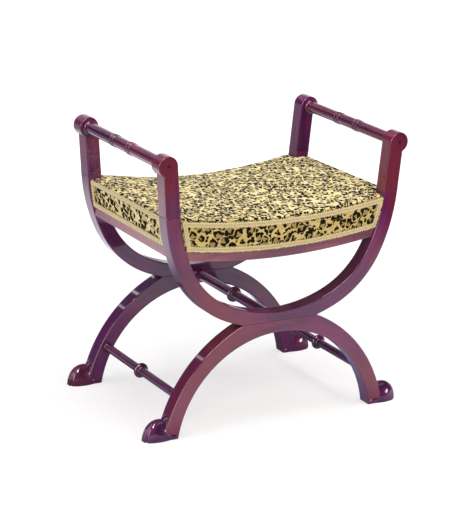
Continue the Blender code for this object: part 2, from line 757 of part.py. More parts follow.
def strap_rows(end, pitch, count, rail):
    """Places along a strap: some to each crossing, then the rail and the strap's end."""
    last = (count - 1) / 2 * pitch
    rows = spaced(-last, last, WEB_CELLS * (count - 1))
    tail = spaced(last, rail, WEB_CELLS - 1)[1:] + [end]
    return [-place for place in reversed(tail)] + rows + tail


def make_deck():
    half_x = SIDE_RAIL_OUT - DECK_MARGIN
    half_y = RAIL_FACE_Y - DECK_MARGIN

    def place(u, v):
        return (u, v, DECK_LOW + DECK_THICK / 2 + dish(u))

    mesh = sheet_mesh("deck", spaced(-half_x, half_x, DECK_FACETS), (-half_y, 0.0, half_y), place)
    deck = add_part("hessian_deck", mesh, "hessian")
    thicken(deck, DECK_THICK, 0.0)
    cut_notches(deck, "deck", COVER_THICK + SOFT_GAP)


# Cover, stuffing and gimp


def swell(height):
    """How far the cover stands out at a height above its lower edge: (front and back, ends)."""
    share = height / COVER_HEIGHT
    belly = BELLY * 4 * share * (1 - share)
    return FRONT_LEAN * share + belly, SIDE_LEAN * share + belly


def sag(x, y, height):
    """How far the worn back and ends lie lower at a height above the cover's lower edge."""
    share_x = min(1.0, abs(x) / COVER_HALF_X)
    share_y = max(0.0, min(1.0, y / COVER_HALF_Y))
    share_z = max(0.0, (height - STUFFING_LOW) / (COVER_HEIGHT - STUFFING_LOW))
    back = BACK_SAG * (1 - share_x**2) * share_y**2
    ends = END_SAG * share_x**END_SAG_POWER
    return (back + ends) * share_z


def seat_form(point):
    """Leans, swells, crowns and dishes a point of the plain block that the seat starts from."""
    front, end = swell(point.z)
    share_x = min(1.0, abs(point.x) / COVER_HALF_X)
    share_y = min(1.0, abs(point.y) / COVER_HALF_Y)
    crown = CROWN * (1 - share_x**2) * (1 - share_y**2) * max(0.0, point.z / COVER_HEIGHT)
    x = point.x * (1 + end / COVER_HALF_X)
    y = point.y * (1 + front / COVER_HALF_Y)
    return Vector((x, y, COVER_LOW + point.z + crown + dish(x) - sag(point.x, point.y, point.z)))


def dished(point):
    """Dishes a point of a plain block, with no lean or crown."""
    return Vector((point.x, point.y, COVER_LOW + point.z + dish(point.x)))


def seat_block(name, inset, low, high, form, round_top=True):
    """A block that fills the cover less an inset, cut into cells and then shaped by form."""
    half_x = COVER_HALF_X - inset
    half_y = COVER_HALF_Y - inset
    work = bmesh.new()
    bmesh.ops.create_cube(work, size=1.0)
    bmesh.ops.scale(work, vec=(2 * half_x, 2 * half_y, high - low), verts=work.verts)
    bmesh.ops.translate(work, vec=(0.0, 0.0, (low + high) / 2), verts=work.verts)
    if round_top:
        rim = [e for e in work.edges if all(v.co.z > high - GAP for v in e.verts)]
        bmesh.ops.bevel(work, geom=rim, offset=EDGE_RADIUS, segments=2, profile=0.5, affect="EDGES")
    flat_x = half_x - EDGE_RADIUS
    flat_y = half_y - EDGE_RADIUS
    levels = spaced(0.0, STUFFING_LOW, COVER_CELLS_Z)
    levels += spaced(STUFFING_LOW, COVER_HEIGHT - EDGE_RADIUS, COVER_CELLS_Z)[1:]
    slices = [
        (Vector((1.0, 0.0, 0.0)), spaced(-flat_x, flat_x, COVER_CELLS_X)[1:-1]),
        (Vector((0.0, 1.0, 0.0)), spaced(-flat_y, flat_y, COVER_CELLS_Y)[1:-1]),
        (Vector((0.0, 0.0, 1.0)), [z for z in levels if low < z < high - EDGE_RADIUS - GAP]),
    ]
    for normal, places in slices:
        for place in places:
            everything = work.verts[:] + work.edges[:] + work.faces[:]
            bmesh.ops.bisect_plane(work, geom=everything, plane_co=place * normal, plane_no=normal)
    bmesh.ops.triangulate(work, faces=work.faces, quad_method="FIXED")
    for vertex in work.verts:
        vertex.co = form(vertex.co)
    bmesh.ops.recalc_face_normals(work, faces=work.faces)
    mesh = bpy.data.meshes.new(name)
    work.to_mesh(mesh)
    work.free()
    return mesh


def cut_notches(part, label, inset):
    """Cuts the corners of a seat layer away round the four bows and posts."""
    clear = NOTCH_CLEAR + inset
    low = RAIL_BOTTOM - BARE_WOOD
    high = COVER_LOW + 2 * COVER_HEIGHT
    levels = [low] + [z for _, z in INNER_EDGE if low < z < high] + [high]
    edge = [(inner_x(z) - clear, z) for z in levels]
    far = SIDE_RAIL_OUT + CUTTER_REACH
    outline = edge + [(far, high), (far, low)]
    for where, side in FRAMES:
        near, away = span(side, INNER_Y - clear, OUTER_Y + CUTTER_REACH)
        for hand, turn in SIDES:
            name = f"{label}_{where}_{hand}_notch"
            shape = [(turn * x, z) for x, z in outline]
            combine(part, add_cutter(name, plate_mesh(name, shape, near, away)), "DIFFERENCE")


def make_seat():
    hollow = add_cutter(
        "cover_hollow",
        seat_block("cover_hollow", COVER_THICK, -COVER_HEIGHT / 2, COVER_HEIGHT - COVER_THICK, seat_form),
    )
    cut_notches(hollow, "hollow", COVER_THICK)
    mesh = seat_block("seat_cover", 0.0, 0.0, COVER_HEIGHT, seat_form)
    shade(mesh)
    cover = add_part("seat_cover", mesh, "leopard_cloth")
    cut_notches(cover, "cover", 0.0)
    combine(cover, hollow, "DIFFERENCE")
    thin = COVER_THICK + GAP / 2
    room = seat_block("frame_room", thin, -COVER_HEIGHT / 2, STUFFING_LOW, dished, round_top=False)
    combine(cover, add_cutter("frame_room", room), "DIFFERENCE")
    inset = COVER_THICK + SOFT_GAP
    mesh = seat_block("seat_stuffing", inset, STUFFING_LOW, COVER_HEIGHT - inset, seat_form)
    stuffing = add_part("seat_stuffing", mesh, "stuffing")
    cut_notches(stuffing, "stuffing", inset)
    margin = COVER_HALF_X - SIDE_RAIL_OUT + DECK_MARGIN - SOFT_GAP
    roof = DECK_LOW + DECK_THICK + SOFT_GAP - COVER_LOW
    pocket = seat_block("deck_pocket", margin, -COVER_HEIGHT / 2, roof, dished, round_top=False)
    combine(stuffing, add_cutter("deck_pocket", pocket), "DIFFERENCE")


def ring_cells(across, up):
    """True for the cells of a frame one cell wide round a grid of across by up cells."""
    return lambda i, j: i in (0, across - 1) or j in (0, up - 1)


def gimp_rows():
    low, high = GIMP_END, COVER_HEIGHT - EDGE_RADIUS
    return [low] + spaced(low + GIMP_WIDTH, high - GIMP_WIDTH, GIMP_CELLS_Z - 2) + [high]


def gimp_frame(name, columns, place):
    rows = gimp_rows()
    mesh = sheet_mesh(name, columns, rows, place, ring_cells(len(columns) - 1, len(rows) - 1))
    braid = add_part(name, mesh, "gimp_braid")
    thicken(braid, GIMP_THICK, 1.0)


def make_gimp():
    for where, side in FRAMES:

        def on_front(u, v, side=side):
            reach = meet(COVER_LOW + v, NOTCH_CLEAR + GIMP_END)[0]
            inside = reach - GIMP_WIDTH
            x = math.copysign(reach, u) if abs(u) > 1 else u * inside
            y = COVER_HALF_Y + swell(v)[0] + GIMP_LIFT
            return (-side * x, side * y, COVER_LOW + v + dish(x) - sag(x, side * y, v))

        columns = [-2.0] + spaced(-1.0, 1.0, GIMP_CELLS_X - 2) + [2.0]
        gimp_frame(where + "_gimp", columns, on_front)
    for hand, turn in SIDES:

        def on_end(u, v, turn=turn):
            reach = INNER_Y - NOTCH_CLEAR - GIMP_END
            inside = reach - GIMP_WIDTH
            y = math.copysign(reach, u) if abs(u) > 1 else u * inside
            skin = COVER_HALF_X + swell(v)[1]
            return (turn * (skin + GIMP_LIFT), turn * y, COVER_LOW + v + dish(skin) - sag(skin, y, v))

        columns = [-2.0] + spaced(-1.0, 1.0, GIMP_CELLS_Y - 2) + [2.0]
        gimp_frame(hand + "_gimp", columns, on_end)


make_frames()
make_paws()
make_rails()
make_seat_frame()
make_webbing()
make_deck()
make_seat()
make_gimp()
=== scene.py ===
import math

import bmesh
import bpy
import numpy as np
from mathutils import Matrix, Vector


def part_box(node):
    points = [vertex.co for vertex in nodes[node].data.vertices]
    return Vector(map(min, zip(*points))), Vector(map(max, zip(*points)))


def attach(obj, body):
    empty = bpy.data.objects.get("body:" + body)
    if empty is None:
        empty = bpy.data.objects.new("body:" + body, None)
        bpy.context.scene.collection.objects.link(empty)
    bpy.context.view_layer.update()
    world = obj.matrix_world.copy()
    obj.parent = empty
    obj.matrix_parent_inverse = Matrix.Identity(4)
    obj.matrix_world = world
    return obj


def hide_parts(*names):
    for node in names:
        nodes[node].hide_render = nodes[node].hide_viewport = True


# A bench of two X frames with turned rails and a leopard-print seat, in metres, front towards -Y
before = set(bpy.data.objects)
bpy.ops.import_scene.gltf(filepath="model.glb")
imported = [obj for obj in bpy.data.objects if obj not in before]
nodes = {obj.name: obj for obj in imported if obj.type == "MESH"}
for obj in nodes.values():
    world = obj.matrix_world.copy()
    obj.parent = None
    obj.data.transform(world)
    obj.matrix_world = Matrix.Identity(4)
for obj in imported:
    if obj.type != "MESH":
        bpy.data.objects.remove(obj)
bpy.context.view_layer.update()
frames = (("front", -1), ("back", 1))
sides = (("left", -1), ("right", 1))
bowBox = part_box("front_bow")
outerY = -bowBox[0].y
innerY = -bowBox[1].y
frameMiddle = (outerY + innerY) / 2
gap = 0.0003
print("frame loaded:", len(nodes), "nodes")


# Colour of the screen as linear light
def srgb(red, green, blue):
    shares = [c / 255 for c in (red, green, blue)]
    return [((c + 0.055) / 1.055) ** 2.4 if c > 0.04 else c / 12.92 for c in shares] + [1.0]


# Shader wiring: a feed is a socket or a plain value
def plug(tree, sockets, feeds):
    for key, feed in feeds.items():
        if isinstance(feed, bpy.types.NodeSocket):
            tree.links.new(feed, sockets[key])
        else:
            sockets[key].default_value = feed


def addNode(tree, kind, settings=None, feeds=None):
    node = tree.nodes.new(kind)
    for key, value in (settings or {}).items():
        setattr(node, key, value)
    plug(tree, node.inputs, feeds or {})
    return node


def calc(tree, operation, *feeds):
    return addNode(tree, "ShaderNodeMath", {"operation": operation}, dict(enumerate(feeds))).outputs[0]


def times(tree, first, *others):
    for other in others:
        first = calc(tree, "MULTIPLY", first, other)
    return first


def plus(tree, first, second):
    return calc(tree, "ADD", first, second)


def minus(tree, first, second):
    return calc(tree, "SUBTRACT", first, second)


def absolute(tree, feed):
    return calc(tree, "ABSOLUTE", feed)


def vectorCalc(tree, operation, *feeds, output=0):
    node = addNode(tree, "ShaderNodeVectorMath", {"operation": operation}, dict(enumerate(feeds)))
    return node.outputs[output]


def split(tree, feed, kind="XYZ"):
    return addNode(tree, "ShaderNodeSeparate" + kind, None, {0: feed}).outputs


def ease(tree, value, low, high, first=0.0, last=1.0):
    feeds = {"Value": value, "From Min": low, "From Max": high, "To Min": first, "To Max": last}
    return addNode(tree, "ShaderNodeMapRange", {"interpolation_type": "SMOOTHSTEP"}, feeds).outputs[0]


def mixValue(tree, share, first, second):
    feeds = {0: share, 2: first, 3: second}
    return addNode(tree, "ShaderNodeMix", {"data_type": "FLOAT"}, feeds).outputs[0]


def mixColour(tree, share, first, second, mode="MIX"):
    settings = {"data_type": "RGBA", "blend_type": mode}
    return addNode(tree, "ShaderNodeMix", settings, {0: share, 6: first, 7: second}).outputs[2]


def noise(tree, vector, scale, detail=3.0, roughness=0.5, output=0):
    feeds = {"Vector": vector, "Scale": scale, "Detail": detail, "Roughness": roughness}
    return addNode(tree, "ShaderNodeTexNoise", None, feeds).outputs[output]


def attribute(tree, name, output):
    return addNode(tree, "ShaderNodeAttribute", {"attribute_name": name}).outputs[output]


def clothMap(tree):
    return addNode(tree, "ShaderNodeUVMap", {"uv_map": "cloth"}).outputs[0]


def bump(tree, height, distance, strength=1.0):
    feeds = {"Height": height, "Distance": distance, "Strength": strength}
    return addNode(tree, "ShaderNodeBump", None, feeds).outputs[0]


def newGroup(name, wanted, given):
    tree = bpy.data.node_groups.new(name, "ShaderNodeTree")
    for way, sockets in (("INPUT", wanted), ("OUTPUT", given)):
        for label, kind in sockets.items():
            tree.interface.new_socket(label, in_out=way, socket_type="NodeSocket" + kind)
    return tree, tree.nodes.new("NodeGroupInput").outputs, tree.nodes.new("NodeGroupOutput").inputs


def useGroup(tree, group, feeds):
    return addNode(tree, "ShaderNodeGroup", {"node_tree": group}, feeds).outputs


def newLook(name, settings):
    look = bpy.data.materials.new(name)
    look.use_nodes = True
    shader = look.node_tree.nodes["Principled BSDF"].inputs
    plug(look.node_tree, shader, settings)
    return look, look.node_tree, shader


def addObject(name, data):
    thing = bpy.data.objects.new(name, data)
    bpy.context.scene.collection.objects.link(thing)
    return thing


# Timber figure: long streaks, fine dark pores and slow patches; worn pale on edges, darker in hollows and
# darker still where the bands' narrow faces carry painted shade.
# Each layer of noise has its stretch along and across the grain, its detail and its roughness
timber = {
    "streak": ((7.0, 95.0, 95.0), 5.0, 0.6),
    "pore": ((34.0, 900.0, 900.0), 2.0, 0.55),
    "patch": ((5.0, 14.0, 14.0), 2.0, 0.5),
    "cast": ((3.5, 9.0, 9.0), 2.0, 0.5),
    "smudge": 26.0,
    "patchDark": 0.62,
    "castWarm": 0.70,
    "poreDark": 0.55,
    "wornPale": 0.40,
    "hollowAndShadeDark": 0.75,
    "hollowAndShadeDull": 0.25,
    "smudgeDull": 0.10,
    "roughness": 0.27,
    "streakHeight": 0.25,
    "depth": 0.00006,
}
timberShades = ("Dark", "Mid", "Pale", "Warm")


def makeTimberFigure():
    wanted = {"Grain": "Vector", "HollowAndShade": "Float", **dict.fromkeys(timberShades, "Color")}
    given = {"Colour": "Color", "Gloss": "Float", "Normal": "Vector"}
    tree, inside, outside = newGroup("timberFigure", wanted, given)
    grain, hollow, s = inside["Grain"], inside["HollowAndShade"], timber

    def layer(name):
        stretch, detail, roughness = s[name]
        return noise(tree, vectorCalc(tree, "MULTIPLY", grain, stretch), 1.0, detail, roughness)

    streak = layer("streak")
    pores = ease(tree, layer("pore"), 0.60, 0.72)
    # Darkening mask: hollows, plus the painted shade on the bands' narrow faces; also duller there
    hollowAndShade = ease(tree, hollow, 0.06, 0.40, 0.0, s["hollowAndShadeDark"])
    colour = mixColour(tree, ease(tree, streak, 0.34, 0.66), inside["Mid"], inside["Pale"])
    for share, shade in (
        (ease(tree, layer("patch"), 0.34, 0.66, 0.0, s["patchDark"]), "Dark"),
        (ease(tree, layer("cast"), 0.42, 0.64, 0.0, s["castWarm"]), "Warm"),
        (times(tree, pores, s["poreDark"]), "Dark"),
        (ease(tree, hollow, -0.10, -0.45, 0.0, s["wornPale"]), "Pale"),
        (hollowAndShade, "Dark"),
    ):
        colour = mixColour(tree, share, colour, inside[shade])
    smudge = ease(tree, noise(tree, grain, s["smudge"], 3.0), 0.3, 0.7, 0.0, s["smudgeDull"])
    dull = plus(tree, smudge, times(tree, hollowAndShade, s["hollowAndShadeDull"]))
    normal = bump(tree, minus(tree, times(tree, streak, s["streakHeight"]), pores), s["depth"])
    plug(tree, outside, {"Colour": colour, "Gloss": plus(tree, dull, s["roughness"]), "Normal": normal})
    return tree


timberFigure = makeTimberFigure()


def timberLook(name, shades, finish):
    look, tree, shader = newLook(name, finish)
    feeds = {shade: srgb(*colour) for shade, colour in zip(timberShades, shades)}
    feeds["Grain"] = attribute(tree, "grain", "Vector")
    # Hollows, plus the painted shade on the bands' narrow faces
    feeds["HollowAndShade"] = plus(tree, attribute(tree, "hollow", "Fac"), attribute(tree, "narrowShade", "Fac"))
    found = useGroup(tree, timberFigure, feeds)
    found = {"Base Color": found["Colour"], "Roughness": found["Gloss"], "Normal": found["Normal"]}
    plug(tree, shader, found)
    return look


# Finishes, and each timber's dark, mid, pale and warm shades with its finish
polish = {"Coat Weight": 1.0, "Coat Roughness": 0.05, "Coat IOR": 1.6, "Specular IOR Level": 0.15}
plugFinish = {"Coat Weight": 0.8, "Coat Roughness": 0.12, "Specular IOR Level": 0.12}
bareFinish = {"Specular IOR Level": 0.3}
timbers = {
    "mahogany": ((46, 10, 36), (88, 19, 66), (114, 33, 84), (118, 40, 44), polish),
    # A darker, bluer copy of the mahogany for the back frame: painted shade
    "shadedBackMahogany": ((44, 13, 48), (84, 24, 70), (108, 38, 88), (112, 38, 60), polish),
    "railMahogany": ((80, 30, 46), (122, 56, 68), (146, 78, 88), (150, 82, 72), polish),
    # A darker, bluer copy of the mahogany for the low stretchers and the paws: painted shade
    "shadedLowMahogany": ((34, 10, 36), (74, 19, 60), (98, 32, 76), (96, 32, 52), polish),
    "armMahogany": ((34, 8, 28), (72, 16, 50), (96, 27, 64), (98, 31, 46), polish),
    "darkPellet": ((40, 10, 28), (72, 18, 46), (90, 26, 56), (84, 28, 40), plugFinish),
    "beech": ((142, 104, 66), (186, 146, 100), (206, 170, 124), (190, 142, 92), bareFinish),
}
looks = {name: timberLook(name, row[:4], row[4]) for name, row in timbers.items()}
# The back frame takes the painted-shade copy of the mahogany
frameLooks = {"front": looks["mahogany"], "back": looks["shadedBackMahogany"]}


# Faces of rings of points, each closed on itself, with a cap on each end if wanted
def ringFaces(rings, around, start=0, capped=False):
    ring = np.arange(rings - 1)[:, None] * around + start
    here = np.arange(around)[None, :]
    after = (here + 1) % around
    corners = (ring + here, ring + after, ring + around + after, ring + around + here)
    faces = np.stack(corners, -1).reshape(-1, 4).tolist()
    if capped:
        end = start + (rings - 1) * around
        faces += [list(range(first, first + around)) for first in (start, end)]
    return faces


def readVectors(source, key):
    values = np.empty(len(source) * 3)
    source.foreach_get(key, values)
    return values.reshape(-1, 3)


def writeLayer(mesh, name, values, kind="FLOAT", key="value"):
    layer = mesh.attributes.new(name, kind, "POINT")
    layer.data.foreach_set(key, np.ascontiguousarray(values, dtype=np.float32).ravel())


# Mean lean of a point's edges along its normal: above 0 in hollows, below 0 on edges and ridges
def hollowness(mesh):
    places = readVectors(mesh.vertices, "co")
    normals = readVectors(mesh.vertex_normals, "vector")
    ends = np.empty(len(mesh.edges) * 2, dtype=np.int32)
    mesh.edges.foreach_get("vertices", ends)
    first, last = ends.reshape(-1, 2).T
    step = places[last] - places[first]
    step /= np.linalg.norm(step, axis=1)[:, None] + 1e-12
    lean, met = np.zeros(len(places)), np.zeros(len(places))
    for end, sign in ((first, 1), (last, -1)):
        np.add.at(lean, end, sign * np.einsum("ij,ij->i", step, normals[end]))
        np.add.at(met, end, 1.0)
    return lean / np.maximum(met, 1.0)


# A dressed piece from arrays, on the one body, in place of its own node and any other that it covers
def dress(name, points, faces, look, grain=None, uv=None, extra=None, sharp=35.0, also=()):
    mesh = bpy.data.meshes.new(name + "_dressed")
    mesh.from_pydata(np.asarray(points, dtype=float).reshape(-1, 3), [], faces)
    work = bmesh.new()
    work.from_mesh(mesh)
    bmesh.ops.recalc_face_normals(work, faces=work.faces)
    work.to_mesh(mesh)
    work.free()
    mesh.shade_smooth()
    mesh.set_sharp_from_angle(angle=math.radians(sharp))
    mesh.materials.append(look)
    if grain is not None:
        writeLayer(mesh, "grain", grain, "FLOAT_VECTOR", "vector")
        extra = {"hollow": hollowness(mesh), **(extra or {})}
    for label, values in (extra or {}).items():
        writeLayer(mesh, label, values)
    if uv is not None:
        layer = mesh.uv_layers.new(name="cloth")
        corner = np.empty(len(mesh.loops), dtype=np.int32)
        mesh.loops.foreach_get("vertex_index", corner)
        layer.data.foreach_set("uv", np.ascontiguousarray(uv, dtype=np.float32)[corner].ravel())
    piece = addObject(name + "_dressed", mesh)
    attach(piece, "root")
    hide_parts(name, *also)
    return piece


# Points on each rounded edge, and how far beside it the next line of points lies
edgeTurn = np.linspace(0.0, math.pi / 2, 5)
edgeSupport = 0.0015
# Painted shade on the bands' narrow faces: how dark it gets, how far inside the edge it starts and over what
# width it rises
narrowShade = {"share": 0.24, "start": 0.0014, "rise": 0.0012}


# Bent bands, one in each frame: at each station a rounded rectangle between an inner and an outer edge
# point (x, z); the narrow faces are painted darker as shade, rising from just inside their edges
def bandPieces(kind, inner, outer, inset, grainPlace):
    middle = (inner + outer) / 2
    reach = outer - inner
    wide = np.linalg.norm(reach, axis=1) / 2
    across = reach / (2 * wide[:, None])
    innerArris, outerArris = lines["arris"], jointArris(outer[:, 0])
    p, q = [], []
    corners = ((1, 1, outerArris), (-1, 1, innerArris), (-1, -1, innerArris), (1, -1, outerArris))
    for quarter, (sign, other, arris) in enumerate(corners):
        cp = sign * (wide - inset - arris)
        cq = other * ((outerY - innerY) / 2 - inset - arris)
        turn = quarter * math.pi / 2 + edgeTurn
        for angle, ahead in [(turn[0], -edgeSupport), *((a, 0.0) for a in turn), (turn[-1], edgeSupport)]:
            p.append(cp + arris * math.cos(angle) + ahead * math.cos(angle + math.pi / 2))
            q.append(cq + arris * math.sin(angle) + ahead * math.sin(angle + math.pi / 2))
    p, q = np.stack(p, 1), np.stack(q, 1)
    x, z = (middle[:, k : k + 1] + across[:, k : k + 1] * p for k in (0, 1))
    run = np.concatenate([[0.0], np.cumsum(np.linalg.norm(np.diff(middle, axis=0), axis=1))])
    grain = np.stack([np.broadcast_to(run[:, None], p.shape), p, q], -1)
    beyond = (np.abs(p) - (wide - inset)[:, None] + narrowShade["start"]) / narrowShade["rise"]
    shade = {"narrowShade": narrowShade["share"] * np.clip(beyond, 0.0, 1.0)}
    faces = ringFaces(*p.shape, capped=True)
    for where, side in frames:
        points = np.stack([x, side * frameMiddle + q, z], -1)
        offset = np.array([grainPlace[0] + side, grainPlace[1], grainPlace[2] * side])
        dress(f"{where}_{kind}", points, faces, frameLooks[where], grain + offset, extra=shade)


# A flat outline of (x, z) points between two y faces, its edges rounded by each point's arris
def plate(name, outline, yFaces, arris, look, grainAngle, offset, order=(0, 1, 2)):
    x, z = outline.T
    if np.sum(x * np.roll(z, -1) - np.roll(x, -1) * z) < 0:
        outline, arris = outline[::-1], arris[::-1]
    step = np.roll(outline, -1, 0) - outline
    step /= np.linalg.norm(step, axis=1)[:, None]
    out = np.stack([step[:, 1], -step[:, 0]], 1)
    before = np.roll(out, 1, 0)
    mitre = (out + before) / (1 + np.sum(out * before, 1))[:, None]
    rings = [(arris + edgeSupport, arris * 0)]
    rings += [(arris * (1 - math.sin(a)), arris * (1 - math.cos(a))) for a in edgeTurn]
    rings += [(arris * 0, arris + edgeSupport)]
    layers = [(outline - mitre * inset[:, None], yFaces[0] + depth) for inset, depth in rings]
    layers += [(outline - mitre * inset[:, None], yFaces[1] - depth) for inset, depth in rings[::-1]]
    points = np.vstack([np.stack([flat[:, 0], y, flat[:, 1]], 1) for flat, y in layers])
    faces = ringFaces(len(layers), len(outline), capped=True)
    x, y, z = points.T
    run = x * math.cos(grainAngle) + z * math.sin(grainAngle)
    beside = -x * math.sin(grainAngle) + z * math.cos(grainAngle)
    grain = np.stack([run, beside, y], 1) + np.array(offset)
    dress(name, points, faces, look, grain[:, order])


# A turned piece along Y: a ring round (x, z) for each (place, radius) of its profile
def turnedPiece(name, profile, x, z, look, offset, around=48):
    angle = np.linspace(0.0, 2 * math.pi, around, endpoint=False)
    y = np.broadcast_to(profile[:, :1], (len(profile), around))
    side = profile[:, 1:] * np.cos(angle)
    up = profile[:, 1:] * np.sin(angle)
    points = np.stack([x + side, y, z + up], -1)
    grain = np.stack([y, side, up], -1) + np.array(offset)
    dress(name, points, ringFaces(len(profile), around, capped=True), look, grain)


# Lines of a side frame, right half: the bow's three arcs, the arch's inner and outer arcs, the post
lines = {
    "bandWidth": 0.034,
    "bowArcs": ((0.325, 24.1), (0.213, 40.7), (0.371, 20.5)),
    "bowEndRound": 0.0005,
    "bowEndClear": 0.004,
    "notchStep": 0.001,
    "crossHeight": 0.0475,
    "archApex": 0.2108,
    "archInner": 0.248,
    "archOuter": 0.323,
    "archTurn": 18.9,
    "archStations": 110,
    "crossStations": 40,
    "footWidth": 0.0356,
    "footRound": 0.0012,
    "footClear": 0.002,
    "shoulderWidth": 0.0418,
    "shoulderAngle": 20.0,
    "postLength": 0.1105,
    "postStart": 0.004,
    "postFootArris": (0.0005, 0.0011),
    "headRadius": 0.0227,
    "step": 0.0025,
    "arris": 0.0018,
    "jointArris": 0.0003,
    "jointFade": 0.008,
}
halfBand = lines["bandWidth"] / 2
bowLow = lines["archApex"] + lines["crossHeight"] - halfBand
archLow = lines["archApex"] - lines["archInner"]


# Bow centre line: (x, z, heading) at headings from 0 up, each arc run on from the last
def bowCentre(headings):
    x, z, first = 0.0, bowLow, 0.0
    out = np.zeros((len(headings), 3))
    for radius, degrees in lines["bowArcs"]:
        last = first + math.radians(degrees)
        here = (headings >= first - 1e-9) & (headings <= last + 1e-9)
        h = headings[here]
        out[here, 0] = x + radius * (np.sin(h) - math.sin(first))
        out[here, 1] = z + radius * (math.cos(first) - np.cos(h))
        out[here, 2] = h
        x += radius * (math.sin(last) - math.sin(first))
        z += radius * (math.cos(first) - math.cos(last))
        first = last
    return out


def bowHeadings(step):
    found, first = [], 0.0
    for radius, degrees in lines["bowArcs"]:
        last = first + math.radians(degrees)
        found.append(np.linspace(first, last, max(2, int(radius * (last - first) / step)) + 1)[:-1])
        first = last
    return np.concatenate(found + [[first]])


postHeading = math.radians(sum(degrees for radius, degrees in lines["bowArcs"]))
postUp = np.array([math.cos(postHeading), math.sin(postHeading)])
postIn = np.array([-math.sin(postHeading), math.cos(postHeading)])
bowEnd = bowCentre(np.array([postHeading]))[0, :2]
headCentre = bowEnd + lines["postLength"] * postUp - (lines["headRadius"] - halfBand) * postIn


def archInnerX(z):
    return np.sqrt(lines["archInner"] ** 2 - (z - archLow) ** 2)


# Centre of the arch's outer arc, which runs through the foot and the shoulder
def outerCentre():
    reach = lines["archInner"] + lines["shoulderWidth"]
    angle = math.radians(lines["shoulderAngle"])
    foot = np.array([archInnerX(0.0) + lines["footWidth"], 0.0])
    shoulder = np.array([reach * math.sin(angle), archLow + reach * math.cos(angle)])
    chord = shoulder - foot
    length = np.linalg.norm(chord)
    inward = np.array([-chord[1], chord[0]]) / length
    return (foot + shoulder) / 2 + inward * math.sqrt(lines["archOuter"] ** 2 - length**2 / 4)


archCentre = outerCentre()


def archOuterX(z):
    return archCentre[0] + np.sqrt(lines["archOuter"] ** 2 - (z - archCentre[1]) ** 2)


# Height of the joint: where the bow's lower edge leaves the arch's outer edge
def findJoint():
    headings = np.linspace(0.0, 0.5, 4001)
    centre = bowCentre(headings)
    x = centre[:, 0] + halfBand * np.sin(headings)
    z = centre[:, 1] - halfBand * np.cos(headings)
    first = int(np.argmax(x > archOuterX(z)))
    return z[first], x[first]


jointZ, notchX = findJoint()
print("joint at", round(float(notchX), 4), round(float(jointZ), 4))

edgeX, edgeZ, heading = bowCentre(bowHeadings(0.001)).T
innerEdge = np.stack([edgeX - halfBand * np.sin(heading), edgeZ + halfBand * np.cos(heading)], 1)
innerEdge = np.vstack([innerEdge, bowEnd + lines["postLength"] * postUp + halfBand * postIn])


# The bow's or post's inner edge at a height
def innerX(z):
    return np.interp(z, innerEdge[:, 1], innerEdge[:, 0])


def mirrorStations(right):
    left = right[::-1].copy()
    left[:, 0] *= -1
    return np.vstack([left, right[1:]])


# Arris along a band: full away from the joint, nearly sharp where bow and arch meet
def jointArris(outerX):
    away = np.clip((np.abs(outerX) - notchX) / lines["jointFade"], 0.0, 1.0)
    return lines["jointArris"] + (lines["arris"] - lines["jointArris"]) * away


# Bow: the band along its centre line, cut level at the joint, its ends rounded
def makeBows():
    base = jointZ + gap / 2
    lowRadius, endRound = lines["bowArcs"][0][0], lines["bowEndRound"]
    notch = math.acos((bowLow + lowRadius - base) / (lowRadius + halfBand))
    beside = notch + np.array([-1, 0, 1]) * lines["notchStep"]
    headings = np.union1d(bowHeadings(lines["step"]), beside)
    centre = bowCentre(headings)[headings < postHeading - lines["bowEndClear"]]
    inset = [0.0] * len(centre)
    for angle in np.linspace(0.0, math.pi / 2, 4):
        back = bowEnd - endRound * (1 - math.sin(angle)) * postUp
        centre = np.vstack([centre, [*back, postHeading]])
        inset.append(endRound * (1 - math.cos(angle)))
    normal = np.stack([-np.sin(centre[:, 2]), np.cos(centre[:, 2])], 1)
    drop = np.minimum(halfBand, (centre[:, 1] - base) / np.cos(centre[:, 2]))
    inner = mirrorStations(centre[:, :2] + halfBand * normal)
    outer = mirrorStations(centre[:, :2] - drop[:, None] * normal)
    bandPieces("bow", inner, outer, np.concatenate([inset[::-1], inset[1:]]), (3.1, 0.2, 0.7))


def arcPoints(centre, radius, angle):
    return np.stack([centre[0] + radius * np.sin(angle), centre[1] + radius * np.cos(angle)], 1)


# Arch: rounded soles, then legs between the two arcs, then level on top under the bow; one station more
# close to the corner on each side keeps it crisp
def makeArches():
    top = jointZ - gap / 2
    footRound = lines["footRound"]
    heel = math.acos(-archLow / lines["archInner"])
    low = math.acos(-archCentre[1] / lines["archOuter"])
    high = math.acos((top - archCentre[1]) / lines["archOuter"])
    turn = math.radians(lines["archTurn"])
    share = np.union1d(np.linspace(0.0, 1.0, lines["archStations"]), [0.996])
    inner = arcPoints((0.0, archLow), lines["archInner"], heel + (turn - heel) * share)
    outer = arcPoints(archCentre, lines["archOuter"], low + (high - low) * share)
    keep = outer[:, 1] > footRound + lines["footClear"]
    feet, insets = [], []
    for angle in np.linspace(math.pi / 2, 0.0, 5):
        z = footRound * (1 - math.sin(angle))
        feet.append([archInnerX(z), z, archOuterX(z), z])
        insets.append(footRound * (1 - math.cos(angle)))
    feet = np.array(feet)
    over = np.union1d(np.linspace(1.0, 0.0, lines["crossStations"])[1:], [0.99])[::-1]
    flatInner = arcPoints((0.0, archLow), lines["archInner"], turn * over)
    flatOuter = np.stack([outer[-1, 0] * over, np.full(len(over), top)], 1)
    inner = np.vstack([feet[:, :2], inner[keep], flatInner])[::-1]
    outer = np.vstack([feet[:, 2:], outer[keep], flatOuter])[::-1]
    inset = np.concatenate([insets, np.zeros(len(inner) - len(insets))])
    inset = np.concatenate([inset, inset[::-1][1:]])
    bandPieces("arch", mirrorStations(inner), mirrorStations(outer), inset, (5.3, 0.9, 0.4))


